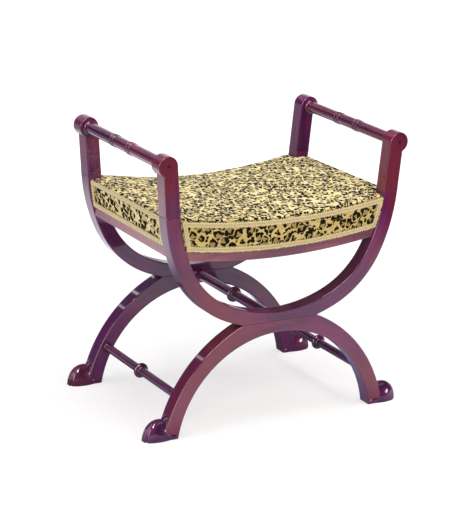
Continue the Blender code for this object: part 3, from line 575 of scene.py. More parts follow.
# Posts: straight up from the bow, ending in a scroll head that overhangs on the outer side
def makePosts():
    radius, start, length = lines["headRadius"], lines["postStart"], lines["postLength"]

    def edgePoint(t, side):
        return bowEnd + t * postUp + side * halfBand * postIn

    sweep = math.pi + math.acos((lines["bandWidth"] - radius) / radius)
    turns = np.linspace(0.0, sweep, 64)
    head = [headCentre + radius * (math.cos(a) * postIn + math.sin(a) * postUp) for a in turns]
    headFoot = float((head[-1] - bowEnd) @ postUp)
    outline = [edgePoint(gap, -1), edgePoint(gap, 1)]
    outline += [edgePoint(t, 1) for t in np.linspace(start, length, 12)[:-1]] + head
    outline = np.array(outline + [edgePoint(t, -1) for t in np.linspace(headFoot, start, 10)[1:]])
    arris = np.full(len(outline), lines["arris"])
    arris[:2] = lines["postFootArris"][0]
    arris[[2, -1]] = lines["postFootArris"][1]
    for where, side in frames:
        yFaces = sorted((side * innerY, side * outerY))
        for hand, turn in sides:
            name = f"{where}_{hand}_post"
            shape = outline * np.array([turn, 1.0])
            offset = (side * 2.0 + turn, 0.3 * turn, 0.2 * side)
            plate(name, shape, yFaces, arris, frameLooks[where], math.pi / 2, offset)
            makePellet(f"{where}_{hand}_pellet", turn * headCentre[0], side, headCentre[1])


# Pellets: plugs of end grain in the heads, a little domed
pellet = {"depth": 0.006, "edge": 0.0012, "proud": 0.00035, "sunk": 0.0001, "tip": 0.06, "around": 32}


def makePellet(name, x, side, z):
    low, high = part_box(name)
    share = np.append(np.linspace(1.0, 0.0, 9)[:-1], pellet["tip"])
    radii = (high.x - low.x) / 2 * np.concatenate([[1.0, 1.0], share])
    rise = pellet["proud"] * (1 - share**2) - pellet["sunk"]
    places = outerY + np.concatenate([[-pellet["depth"], -pellet["edge"]], rise])
    profile = np.stack([side * places, radii], 1)
    offset = (0.1 * side, x, z)
    turnedPiece(name, profile, x, z, looks["darkPellet"], offset, pellet["around"])


# Half-round beads on a turned piece: (place, radius) pairs
def bead(middle, half, base, height, count=10):
    angle = np.linspace(math.pi, 0.0, count + 1)
    return np.stack([middle + half * np.cos(angle), base + height * np.sin(angle)], 1)


# A profile with a tenon beyond each end, its tip chamfered
def withTenons(profile, half, radius, length, tip=0.001):
    ends = np.array([[half + 1e-5, radius], [half + length - tip, radius], [half + length, radius - tip]])
    return np.vstack([ends[::-1] * np.array([-1.0, 1.0]), profile, ends])


rails = {
    "radius": 0.0130,
    "nodeY": 0.039,
    "nodeHalf": 0.016,
    "ridge": 0.0011,
    "ridgeHalf": 0.0024,
    "ridgeApart": 0.0062,
    "groove": 0.0008,
    "grooveHalf": 0.0010,
    "grooveGap": 0.0010,
    "collar": 0.0042,
    "collarHalf": 0.0048,
    "tenon": 0.0056,
    "tenonLength": 0.029,
}


# Arm rails: a collar and a groove at each end, and two nodes of two ridges, each ridge between grooves
def makeRails():
    half, s, radius = innerY - gap, rails, rails["radius"]
    collarY = half - s["collarHalf"]
    grooveY = half - 2 * s["collarHalf"] - s["grooveGap"]
    beside = s["ridgeHalf"] + s["grooveHalf"]

    def collar(y):
        return bead(y, s["collarHalf"], radius, s["collar"])

    def groove(y):
        return bead(y, s["grooveHalf"], radius, -s["groove"], 4)

    profile = [collar(-collarY), groove(-grooveY)]
    for node in (-s["nodeY"], s["nodeY"]):
        profile.append([[node - s["nodeHalf"], radius]])
        for middle in (node - s["ridgeApart"], node + s["ridgeApart"]):
            ridge = bead(middle, s["ridgeHalf"], radius, s["ridge"], 8)[1:-1]
            profile += [groove(middle - beside), ridge, groove(middle + beside)]
        profile.append([[node + s["nodeHalf"], radius]])
    profile = np.vstack(profile + [groove(grooveY), collar(collarY)])
    profile = withTenons(profile, half, s["tenon"], s["tenonLength"])
    x, z = headCentre
    for hand, turn in sides:
        offset = (turn * 1.7, 0.5, turn * 0.3)
        turnedPiece(hand + "_arm_rail", profile, turn * x, z, looks["armMahogany"], offset)


stretchers = {
    "side": {"radius": 0.0095, "ring": 0.0080},
    "centre": {"radius": 0.0113, "ring": 0.0070},
    "ringHalf": 0.0052,
    "fillet": 0.0028,
    "filletHalf": 0.0020,
    "filletGap": 0.0004,
    "collar": 0.0022,
    "collarHalf": 0.0040,
    "plain": 0.020,
    "tenon": 0.0060,
    "tenonLength": 0.020,
}


# Stretchers: a ring between fillets in the middle, and a collar at each end
def makeStretchers():
    half, s = innerY - gap, stretchers
    beside = s["ringHalf"] + s["filletHalf"] + s["filletGap"]
    collarY, plainY = half - s["collarHalf"], half - s["plain"]
    for kind in ("left", "right", "centre"):
        name = kind + "_stretcher"
        low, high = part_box(name)
        own = s["centre" if kind == "centre" else "side"]
        radius = own["radius"]
        profile = [bead(0.0, s["ringHalf"], radius, own["ring"], 16)]
        for sign in (-1, 1):
            fillet = bead(sign * beside, s["filletHalf"], radius, s["fillet"])
            collar = bead(sign * collarY, s["collarHalf"], radius, s["collar"])
            end = [fillet, [[sign * plainY, radius]], collar]
            profile = end[::-1] + profile if sign < 0 else profile + end
        profile = withTenons(np.vstack(profile), half, s["tenon"], s["tenonLength"])
        x, z = (low.x + high.x) / 2, (low.z + high.z) / 2
        offset = (len(kind) * 0.9, 0.1, 0.6)
        turnedPiece(name, profile, x, z, looks["shadedLowMahogany"], offset)


# Distance to an ellipsoid, near enough close to its skin
def ellipsoid(points, middle, radii):
    local = points - np.array(middle)
    near = np.linalg.norm(local / np.array(radii), axis=-1)
    steep = np.linalg.norm(local / np.array(radii) ** 2, axis=-1)
    return near * (near - 1) / np.maximum(steep, 1e-9)


# Distance to a round-ended rod that runs from one radius to another
def taper(points, first, last, firstRadius, lastRadius):
    start, end = np.array(first), np.array(last)
    run = end - start
    share = np.clip(((points - start) @ run) / (run @ run), 0.0, 1.0)
    return np.linalg.norm(points - start - share[..., None] * run, axis=-1) - (
        firstRadius + (lastRadius - firstRadius) * share
    )


def softMin(a, b, width):
    share = np.clip(0.5 + 0.5 * (b - a) / width, 0.0, 1.0)
    return b + (a - b) * share - width * share * (1 - share)


def softMax(a, b, width):
    return -softMin(-a, -b, width)


# Skin of a distance field on a grid: one point in each crossed cell, one face for each crossed edge
def skin(field, origin, step):
    low = field < 0
    shape = np.array(field.shape) - 1
    total = np.zeros((*shape, 3))
    count = np.zeros(shape)
    corners = [(i, j, k) for i in (0, 1) for j in (0, 1) for k in (0, 1)]

    def part(array, corner):
        return array[tuple(slice(c, c + n) for c, n in zip(corner, shape))]

    for corner in corners:
        for axis in range(3):
            if corner[axis]:
                continue
            other = tuple(c + (i == axis) for i, c in enumerate(corner))
            a, b = part(field, corner), part(field, other)
            crossed = part(low, corner) != part(low, other)
            share = np.where(crossed, a / np.where(crossed, a - b, 1.0), 0.0)
            for i in range(3):
                total[..., i] += np.where(crossed, corner[i] + (share if i == axis else 0.0), 0.0)
            count += crossed
    used = count > 0
    number = np.full(shape, -1)
    number[used] = np.arange(int(used.sum()))
    cells = np.stack(np.nonzero(used), -1)
    points = origin + step * (cells + total[used] / count[used][:, None])
    faces = []
    for axis in range(3):
        one, two = (axis + 1) % 3, (axis + 2) % 3
        ahead = np.take(low, range(1, low.shape[axis]), axis)
        here = np.take(low, range(low.shape[axis] - 1), axis)
        found = np.stack(np.nonzero(here != ahead), -1)
        found = found[(found[:, one] > 0) & (found[:, two] > 0)]
        ring = []
        for da, db in ((1, 1), (0, 1), (0, 0), (1, 0)):
            cell = found.copy()
            cell[:, one] -= da
            cell[:, two] -= db
            ring.append(number[tuple(cell.T)])
        faces.append(np.stack(ring, -1))
    return points, np.vstack(faces).tolist()


# Paw feet, carved: a full dome that stands nearly upright at the toes, three grooves that follow it between
# four toes and draw together upwards, a scooped flank, a knob behind the dome and a pad on the leg's side
paw = {
    "voxel": 0.00095,
    "low": (0.2420, -0.0230, -0.0024),
    "high": (0.3285, 0.0230, 0.0545),
    "dome": ((0.2866, 0.0, -0.0010), (0.0378, 0.0196, 0.0474), 2.15),
    "domeScale": 0.026,
    "knob": ((0.2705, 0.0, 0.0456), (0.0068, 0.0110, 0.0056)),
    "grooves": (-0.0098, 0.0, 0.0098),
    "grooveDraw": 6.0,
    "grooveHeights": (0.0, 0.010, 0.019, 0.027, 0.034, 0.040),
    "grooveRadii": (0.0030, 0.0030, 0.0028, 0.0024, 0.0018, 0.0008),
    "scoop": ((0.2836, 0.0512, 0.0470), (0.0450, 0.0450, 0.0450)),
    "pad": ((0.2545, 0.0128, 0.0062), (0.2650, 0.0124, 0.0074), 0.0072),
    "blend": {"groove": 0.0010, "knob": 0.0014, "scoop": 0.0014, "pad": 0.0018},
    "soleSnap": 0.0004,
    "halfWidth": 0.0199,
}


# Distance to a rounded box-like ellipsoid: the root sum of powers of the shares of its radii, less one
def fullEllipsoid(points, middle, radii, power):
    share = np.abs(points - np.array(middle)) / np.array(radii)
    return ((share**power).sum(-1) ** (1 / power) - 1) * paw["domeScale"]


def pawField(points):
    u, v, z = np.moveaxis(points, -1, 0)
    blend, cuts = paw["blend"], paw["grooveRadii"]
    middle, radii, power = paw["dome"]
    field = fullEllipsoid(points, middle, radii, power)
    for across in paw["grooves"]:
        line = []
        for height in paw["grooveHeights"]:
            beside = across * (1.0 - paw["grooveDraw"] * height)
            left = 1.0 - abs(beside / radii[1]) ** power - abs(height / radii[2]) ** power
            line.append((middle[0] + radii[0] * max(left, 0.0) ** (1 / power), beside, height))
        for n in range(len(line) - 1):
            cut = taper(points, line[n], line[n + 1], cuts[n], cuts[n + 1])
            field = softMax(field, -cut, blend["groove"])
    field = softMin(field, ellipsoid(points, *paw["knob"]), blend["knob"])
    mirrored = np.stack([u, np.abs(v), z], -1)
    field = softMax(field, -ellipsoid(mirrored, *paw["scoop"]), blend["scoop"])
    first, last, radius = paw["pad"]
    field = softMin(field, taper(mirrored, first, last, radius, radius), blend["pad"])
    return np.maximum(field, -z)


def makePaws():
    step = paw["voxel"]
    axes = [np.arange(a, b, step) for a, b in zip(paw["low"], paw["high"])]
    grid = np.stack(np.meshgrid(*axes, indexing="ij"), -1)
    points, faces = skin(pawField(grid), np.array(paw["low"]), step)
    points[:, 2] = np.where(points[:, 2] < paw["soleSnap"], 0.0, points[:, 2])
    points[:, 1] = np.clip(points[:, 1], -paw["halfWidth"], paw["halfWidth"])
    look = looks["shadedLowMahogany"]
    for where, side in frames:
        for hand, turn in sides:
            shape = points * np.array([turn, 1.0, 1.0]) + np.array([0.0, side * frameMiddle, 0.0])
            dress(f"{where}_{hand}_paw", shape, faces, look, shape[:, [2, 1, 0]], sharp=60.0)
    print("paws:", len(points), "points each")


makeBows()
makeArches()
makePosts()
makeRails()
makeStretchers()
makePaws()
print("frames and turned pieces made")

# Seat: the rails, then a notched cushion form, its cover, the trim, and the straps and deck below
seat = {
    "printDraw": 1.25,
    "dishRadius": 1.50,
    "railBottom": 0.3815,
    "railHeight": 0.052,
    "bareWood": 0.020,
    "halfX": 0.2718,
    "halfY": 0.2008,
    "notchClear": 0.0006,
    "height": 0.074,
    "edge": 0.0065,
    "edgeRings": 7,
    "sideRings": 17,
    "frontLean": 0.0035,
    "sideLean": 0.0095,
    "belly": 0.0018,
    "crown": 0.006,
    "backSag": 0.009,
    "endSag": 0.007,
    "endPower": 6,
    "endSagShares": (0.65, 0.35),
    "cornerRise": 0.015,
    "cornerRound": 0.013,
    "cornerDrop": 0.0055,
    "cornerFades": ((-0.004, 0.014), (-0.004, 0.020)),
    "waves": ((1.0, (31, 9, 0.4), (-11, 27, 1.1)), (0.6, (55, -38, 2.0), (21, 47, 0.0))),
    "lump": 0.0006,
    "lumpRise": (0.05, 0.024),
    "stuffingLow": 0.0325,
    "deckTop": 0.0386,
    "thick": 0.0015,
    "hem": 0.0006,
    "columns": (112, 9),
    "rows": (80, 8),
}
coverLow = seat["railBottom"] + seat["bareWood"]
railTop = seat["railBottom"] + seat["railHeight"]
cornerX = float(innerX(coverLow + seat["height"] + seat["cornerRise"])) - seat["notchClear"]
cornerY = innerY - seat["notchClear"]


def dish(x):
    return seat["dishRadius"] - np.sqrt(seat["dishRadius"] ** 2 - np.asarray(x) ** 2)


# Where a dished line that is level high in the middle meets the bow's inner edge
def meet(level, clear):
    x = innerX(level) - clear
    for _ in range(20):
        x = innerX(level + dish(x)) - clear
    return float(x)


# Near and far face of a side rail, from the middle of the bench
def railFaces(name):
    return sorted(abs(corner.x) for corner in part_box(name))


seatRail = {"stations": 61, "endStations": 9, "arris": 0.0009, "sideArris": 0.0010, "jointArris": 0.0003}


# Seat rails: front and back dished and cut to the bows, sides straight and sloped by the dish; each grain
# runs along its rail
def makeSeatRails():
    bottomZ, look = seat["railBottom"], looks["railMahogany"]
    count, ends = seatRail["stations"], seatRail["endStations"]
    low, high = meet(bottomZ, gap), meet(railTop, gap)
    xs = np.linspace(-low, low, count)
    bottom = np.stack([xs, bottomZ + dish(xs)], 1)
    rise = np.linspace(0.0, 1.0, ends)[1:-1]
    endZ = bottom[-1, 1] + (railTop + float(dish(high)) - bottom[-1, 1]) * rise
    right = np.stack([innerX(endZ) - gap, endZ], 1)
    xs = np.linspace(high, -high, count)
    top = np.stack([xs, railTop + dish(xs)], 1)
    outline = np.vstack([bottom, right, top, right[::-1] * np.array([-1.0, 1.0])])
    arris = np.full(len(outline), seatRail["arris"])
    arris[count - 1 : count + ends] = seatRail["jointArris"]
    arris[-ends:] = arris[0] = seatRail["jointArris"]
    for where, side in frames:
        name = where + "_seat_rail"
        yFaces = [corner.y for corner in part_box(name)]
        plate(name, outline, yFaces, arris, look, 0.0, (side * 4.1, 0.2, 0.1))
    for hand, turn in sides:
        name = hand + "_seat_rail"
        yFaces = [corner.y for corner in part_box(name)]
        near, far = railFaces(name)
        corners = [(near, bottomZ), (far, bottomZ), (far, railTop), (near, railTop)]
        outline = np.array([(turn * x, z + float(dish(x))) for x, z in corners])
        arris = np.full(4, seatRail["sideArris"])
        plate(name, outline, yFaces, arris, look, 0.0, (turn * 6.2, 0.4, 0.3), (2, 1, 0))


# How far the cover stands out at a height: lean times the share of the height, plus a belly
def swell(height, lean):
    share = height / seat["height"]
    return lean * share + seat["belly"] * 4 * share * (1 - share)


# Fall of a rounded corner: a quarter ellipse over its last stretch before the post
def cornerFall(place, end):
    share = np.clip((np.abs(place) - end) / seat["cornerRound"] + 1, 0.0, 1.0)
    return seat["cornerDrop"] * (1 - np.sqrt(1 - share**2))


def smoothStep(value, low, high):
    share = np.clip((value - low) / (high - low), 0.0, 1.0)
    return share * share * (3 - 2 * share)


# Height of the seat's skin: level, crowned in the middle, dished along X, worn low at the back and ends,
# its corners rounded down beside the posts
def seatZ(x, y, height):
    tall, low = seat["height"], seat["stuffingLow"]
    shareX = np.clip(np.abs(x) / seat["halfX"], 0.0, 1.0)
    shareY = np.clip(np.abs(y) / seat["halfY"], 0.0, 1.0)
    toBack = np.clip(y / seat["halfY"], -1.0, 1.0)
    crown = seat["crown"] * (1 - shareX**2) * (1 - shareY**2) * np.clip(height / tall, 0.0, None)
    above = np.clip((height - low) / (tall - low), 0.0, None)
    sag = seat["backSag"] * (1 - shareX**2) * np.clip(toBack, 0.0, 1.0) ** 2
    level, slope = seat["endSagShares"]
    sag = sag + seat["endSag"] * shareX ** seat["endPower"] * (level + slope * toBack)
    corners = ((x, cornerX, y, innerY), (y, cornerY, x, cornerX))
    for (place, end, other, start), (first, last) in zip(corners, seat["cornerFades"]):
        sag = sag + cornerFall(place, end) * smoothStep(np.abs(other), start + first, start + last)
    return coverLow + height + crown + dish(x) - sag * above


# Slow lumps of the stuffing under the cover: a few crossed waves
def lumps(x, y):
    total = 0.0
    for share, first, second in seat["waves"]:
        one, other = (np.sin(a * x + b * y + c) for a, b, c in (first, second))
        total = total + share * one * other
    return seat["lump"] * total


# The notched plan as a grid: middle columns run to the posts, end columns on between the posts
def planLines(inset, height):
    notchX = meet(coverLow + height, seat["notchClear"]) - inset
    notchY = innerY - seat["notchClear"] - inset
    endX = seat["halfX"] + swell(height, seat["sideLean"]) - inset
    frontY = seat["halfY"] + swell(height, seat["frontLean"]) - inset
    return notchX, notchY, endX, frontY


# Evenly spaced to the notch, then evenly from there to the edge, both ways
def spread(near, far, inside, beyond):
    middle = np.linspace(-near, near, inside + 1)
    tail = np.linspace(near, far, beyond + 1)[1:]
    return np.concatenate([-tail[::-1], middle, tail])


def planPoints(inset, height):
    notchX, notchY, endX, frontY = planLines(inset, height)
    return spread(notchX, endX, *seat["columns"]), spread(notchY, frontY, *seat["rows"])


# Lines of the grid across the plan: first, at both notches, and last
def planStops(main, end):
    return 0, end, end + main, main + 2 * end


# Grid points (column, row) round the edge of the notched plan, once about
def planEdge():
    o, a, b, c = planStops(*seat["columns"])
    o, d, e, f = planStops(*seat["rows"])
    stops = [(a, o), (b, o), (b, d), (c, d), (c, e), (b, e), (b, f), (a, f), (a, e), (o, e), (o, d), (a, d)]
    loop = []
    for (i, j), (k, m) in zip(stops, stops[1:] + stops[:1]):
        count = abs(k - i) + abs(m - j)
        loop += [(i + (k - i) * n // count, j + (m - j) * n // count) for n in range(count)]
    return np.array(loop)


# Columns and rows of the plan's points, its faces, its edge, and the numbers of the points on the edge
def planSheet():
    (_, a, b, c), (_, d, e, f) = planStops(*seat["columns"]), planStops(*seat["rows"])
    i, j = np.meshgrid(np.arange(c + 1), np.arange(f + 1), indexing="ij")
    kept = ~(((i < a) | (i > b)) & ((j < d) | (j > e)))
    number = np.full(kept.shape, -1)
    number[kept] = np.arange(int(kept.sum()))
    sheet = np.stack([number[:-1, :-1], number[1:, :-1], number[1:, 1:], number[:-1, 1:]], -1)
    edge = planEdge()
    return i[kept], j[kept], sheet[(sheet >= 0).all(-1)], edge, number[edge[:, 0], edge[:, 1]]


# Cover: top sheet, a rounded edge and sides by rings round the plan, then turned in under the stuffing;
# its cloth map runs on from the top down the sides
def makeCover(look):
    tall, bend, thick, under = seat["height"], seat["edge"], seat["thick"], seat["deckTop"]
    i, j, sheet, edge, rim = planSheet()
    x, y = planPoints(bend, tall)
    gx, gy = x[i], y[j]
    points = [np.stack([gx, gy, seatZ(gx, gy, tall) + lumps(gx, gy)], 1)]
    uvs = [np.stack([gx, gy / seat["printDraw"]], 1)]
    turn = np.linspace(0.0, math.pi / 2, seat["edgeRings"])[1:]
    rings = [(bend * (1 - math.sin(a)), tall - bend * (1 - math.cos(a))) for a in turn]
    rings += [(0.0, h) for h in np.linspace(tall - bend, 0.0, seat["sideRings"])[1:]]
    rings += [(thick * 0.5, -seat["hem"]), (thick, 0.0), (thick, under)]
    column, row = edge.T
    first, last = planStops(*seat["columns"])[1:3]
    onFront = (column >= first) & (column <= last) & ((row == 0) | (row == j.max()))
    onEnd = (column == 0) | (column == i.max())
    lumpLow, lumpRise = seat["lumpRise"]
    for inset, height in rings:
        x, y = planPoints(inset, height)
        px, py = x[column], y[row]
        soft = lumps(px, py) * np.clip((height - lumpLow) / lumpRise, 0.0, 1.0)
        points.append(np.stack([px, py, seatZ(px, py, height) + soft], 1))
        drop = tall - height + inset
        u = np.where(onEnd, px + np.sign(px) * drop, px)
        v = py / seat["printDraw"] + np.where(onFront, np.sign(py) * drop, 0.0)
        uvs.append(np.stack([u, v], 1))
    start, loop = len(gx), len(edge)
    here = np.arange(loop)
    after = np.roll(here, -1)
    faces = sheet.tolist()
    faces += np.stack([rim, start + here, start + after, rim[after]], -1).tolist()
    faces += ringFaces(len(rings), loop, start)
    number = np.full(start, -1)
    number[rim] = start + (len(rings) - 1) * loop + here
    free = number < 0
    number[free] = start + len(rings) * loop + np.arange(int(free.sum()))
    faces += number[sheet][:, ::-1].tolist()
    x, y = planPoints(thick, under)
    gx, gy = x[i][free], y[j][free]
    points.append(np.stack([gx, gy, seatZ(gx, gy, under)], 1))
    uvs.append(np.stack([gx, gy / seat["printDraw"]], 1))
    points, uv = np.vstack(points), np.vstack(uvs)
    stuffing = ("seat_stuffing",)
    return dress("seat_cover", points, faces, look, uv=uv, sharp=50.0, also=stuffing)


# Leopard print: each cell a black ring, thick on one side and open on the other, round an olive centre on
# gold; about one cell in five a solid blot, small spots between, and a gold line along every cell's edge
leopard = {
    "cells": (42.0, 0.60),
    "spots": (108.0, 0.9),
    "turn": 0.46,
    "wobbleScale": 120.0,
    "wobble": 0.0085,
    "blots": 0.36,
    "lopsided": 0.40,
    "ring": 0.72,
    "ringWidths": (0.198, 0.166),
    "ringRadii": (0.31, 0.37),
    "blotShare": 0.30,
    "patchScale": 38.0,
    "ground": ((226, 208, 144), (217, 194, 118)),
    "halo": (206, 176, 100),
    "centre": (156, 136, 78),
    "black": (16, 10, 10),
}


def makeLeopard():
    wanted, given = {"Cloth": "Vector", "Depth": "Float"}, {"Colour": "Color", "Dark": "Float"}
    tree, inside, outside = newGroup("leopardPrint", wanted, given)
    cloth, depth, s = inside["Cloth"], inside["Depth"], leopard
    wobble = noise(tree, cloth, s["wobbleScale"], 1.0, 0.5, 1)
    shift = vectorCalc(tree, "SUBTRACT", wobble, (0.5, 0.5, 0.5))
    shift = vectorCalc(tree, "MULTIPLY", shift, (s["wobble"], s["wobble"], 0.0))
    feeds = {"Vector": vectorCalc(tree, "ADD", cloth, shift), "Angle": s["turn"]}
    bent = addNode(tree, "ShaderNodeVectorRotate", {"rotation_type": "Z_AXIS"}, feeds).outputs[0]

    def voronoi(layout, feature="F1"):
        feeds = {"Vector": bent, "Scale": layout[0], "Randomness": layout[1]}
        settings = {"voronoi_dimensions": "2D", "feature": feature}
        return addNode(tree, "ShaderNodeTexVoronoi", settings, feeds).outputs

    cells, spots = voronoi(s["cells"]), voronoi(s["spots"])
    edge = voronoi(s["cells"], "DISTANCE_TO_EDGE")["Distance"]
    distance = cells["Distance"]
    chance = split(tree, cells["Color"], "Color")
    spoke = split(tree, vectorCalc(tree, "SUBTRACT", bent, cells["Position"]))
    angle = calc(tree, "ARCTAN2", spoke[1], spoke[0])
    phase = times(tree, chance[2], 12.0)
    blots = calc(tree, "SINE", plus(tree, times(tree, angle, 3.0), phase))
    lopsided = calc(tree, "SINE", plus(tree, angle, times(tree, phase, 1.7)))
    swellShare = plus(tree, times(tree, blots, s["blots"]), times(tree, lopsided, s["lopsided"]))
    whole = ease(tree, chance[0], 0.10, 0.28, s["blotShare"], 1.0)
    radius = times(tree, whole, ease(tree, chance[1], 0.0, 1.0, *s["ringRadii"]))
    width = times(tree, plus(tree, swellShare, s["ring"]), ease(tree, chance[1], 0.0, 1.0, *s["ringWidths"]))
    away = absolute(tree, minus(tree, distance, radius))
    ring = times(tree, ease(tree, minus(tree, width, away), -0.002, 0.012), ease(tree, edge, 0.035, 0.060))
    between = ease(tree, distance, 0.50, 0.53)
    some = ease(tree, split(tree, spots["Color"], "Color")[0], 0.36, 0.39)
    spot = times(tree, ease(tree, spots["Distance"], 0.48, 0.44), between, some)
    dark = calc(tree, "MAXIMUM", ring, spot)
    patch = noise(tree, cloth, s["patchScale"], 2.0)
    first, second = (srgb(*colour) for colour in s["ground"])
    ground = mixColour(tree, ease(tree, patch, 0.32, 0.68), first, second)
    halo = times(tree, ease(tree, distance, 0.66, 0.40), ease(tree, patch, 0.35, 0.65, 0.15, 0.6), depth)
    ground = mixColour(tree, halo, ground, srgb(*s["halo"]))
    centre = times(tree, ease(tree, minus(tree, radius, distance), -0.02, 0.08), depth)
    ground = mixColour(tree, centre, ground, srgb(*s["centre"]))
    plug(tree, outside, {"Colour": mixColour(tree, dark, ground, srgb(*s["black"])), "Dark": dark})
    return tree


# Plain weave: raised threads both ways at the given threads per metre, with slubs
weave = {"crossed": 0.35, "thread": 0.65, "slubScale": 420.0, "slubHeights": (0.6, 1.2)}


def makeWeave():
    wanted, given = {"Cloth": "Vector", "Threads": "Float"}, {"Height": "Float", "Shade": "Float"}
    tree, inside, outside = newGroup("plainWeave", wanted, given)
    feeds = {0: inside["Cloth"], "Scale": inside["Threads"]}
    scaled = addNode(tree, "ShaderNodeVectorMath", {"operation": "SCALE"}, feeds).outputs[0]
    x, y, z = split(tree, scaled)
    warp, weft = (calc(tree, "SINE", times(tree, way, 2 * math.pi)) for way in (x, y))
    crossed = times(tree, warp, weft)
    thread = calc(tree, "MAXIMUM", absolute(tree, warp), absolute(tree, weft))
    slub = noise(tree, inside["Cloth"], weave["slubScale"], 2.0)
    height = plus(tree, times(tree, crossed, weave["crossed"]), times(tree, thread, weave["thread"]))
    height = times(tree, height, ease(tree, slub, 0.2, 0.8, *weave["slubHeights"]))
    plug(tree, outside, {"Height": height, "Shade": ease(tree, slub, 0.3, 0.7)})
    return tree


leopardPrint = makeLeopard()
plainWeave = makeWeave()
coverCloth = {
    "finish": {"Roughness": 0.88, "Sheen Weight": 0.04, "Sheen Roughness": 0.30, "Specular IOR Level": 0.06},
    "topScale": (1.22, 1.22, 1.0),
    "topLightDepth": 0.6,
    "topLightTint": (0.99, 0.985, 1.1, 1.0),
    "sideLightDepths": (0.45, 0.9),
    "faceShadeTint": (0.80, 0.75, 0.58, 1.0),
    "threads": 720.0,
    "thread": (248, 238, 206),
    "threadShares": (0.16, 0.012),
    "threadDepth": 0.00018,
}


# Cover cloth: the print, finer on top, under a pale weave; painted light makes it paler on top and at the
# ends and bluer on top, and painted shade makes it darker and deeper gold on the front and back
def clothLook():
    s = coverCloth
    look, tree, shader = newLook("leopardCloth", s["finish"])
    cloth = clothMap(tree)
    turned = split(tree, addNode(tree, "ShaderNodeNewGeometry").outputs["Normal"])
    # Painted light and shade by facing: weaker halo and centre on top and towards the ends, stronger on the
    # front and back
    kept = ease(tree, absolute(tree, turned[1]), 0.45, 0.80)
    up = ease(tree, turned[2], 0.45, 0.55)
    finer = vectorCalc(tree, "MULTIPLY", cloth, s["topScale"])
    onTop = useGroup(tree, leopardPrint, {"Cloth": finer, "Depth": s["topLightDepth"]})
    depth = ease(tree, kept, 0.0, 1.0, *s["sideLightDepths"])
    onSides = useGroup(tree, leopardPrint, {"Cloth": cloth, "Depth": depth})
    topLit = mixColour(tree, 1.0, onTop["Colour"], s["topLightTint"], "MULTIPLY")
    printed = mixColour(tree, up, onSides["Colour"], topLit)
    sideDark = times(tree, minus(tree, 1.0, up), onSides["Dark"])
    dark = plus(tree, times(tree, up, onTop["Dark"]), sideDark)
    woven = useGroup(tree, plainWeave, {"Cloth": cloth, "Threads": s["threads"]})
    light = times(tree, woven["Shade"], ease(tree, dark, 0.0, 1.0, *s["threadShares"]))
    faded = mixColour(tree, light, printed, srgb(*s["thread"]))
    # Painted shade: the front and back darkened to a deeper gold
    gold = mixColour(tree, kept, (1.0, 1.0, 1.0, 1.0), s["faceShadeTint"])
    normal = bump(tree, woven["Height"], s["threadDepth"], 0.6)
    plug(tree, shader, {"Base Color": mixColour(tree, 1.0, faded, gold, "MULTIPLY"), "Normal": normal})
    return look


makeSeatRails()
cover = makeCover(clothLook())
print("seat cover:", len(cover.data.vertices), "points")


# Gimp: a flat braid with two edge cords, a crossed braid between them and looped picots
gimp = {
    "width": 0.0135,
    "low": 0.0008,
    "high": 0.0690,
    "end": 0.0008,
    "lift": 0.0004,
    "base": 0.0009,
    "relief": 0.0011,
    "pitch": 0.0064,
    "step": 0.0007,
    "columns": 21,
    "cord": (0.62, 0.15),
    "strand": (0.34, 0.17),
    "loop": (0.80, 0.20, 0.95),
    "picot": 0.0036,
    "picotEdge": (0.75, 0.25),
    "stripShift": 0.31,
    "mapHalf": 0.0067,
    "finish": {"Roughness": 0.62, "Sheen Weight": 0.45, "Sheen Roughness": 0.3, "Specular IOR Level": 0.35},
    "dark": (122, 92, 38),
    "pale": (250, 235, 176),
    "thread": (206, 180, 110),
    "threadStretch": (700.0, 2600.0, 1.0),
    "threadShare": 0.22,
    "threadDepth": 0.00010,
}


# Relief of the braid along s and across c from -1 to 1: edge cords, two crossed strands, picot loops
def braid(s, c):
    phase = 2 * math.pi * s / gimp["pitch"]
    relief = np.zeros_like(s + c)
    (cordAt, cordWidth), (swing, strandWidth) = gimp["cord"], gimp["strand"]
    for sign in (-1, 1):
        cord = np.exp(-(((c - sign * cordAt) / cordWidth) ** 2))
        relief = np.maximum(relief, cord * (0.86 + 0.14 * np.sin(2 * phase + sign * 9 * c)))
        strand = np.exp(-(((c - sign * swing * np.sin(phase)) / strandWidth) ** 2))
        relief = np.maximum(relief, strand * (0.80 + 0.20 * np.cos(phase) * sign))
    start, rise, height = gimp["loop"]
    loops = np.clip((np.abs(c) - start) / rise, 0.0, 1.0)
    return np.maximum(relief, loops * (0.5 + 0.5 * np.cos(phase)) * height)


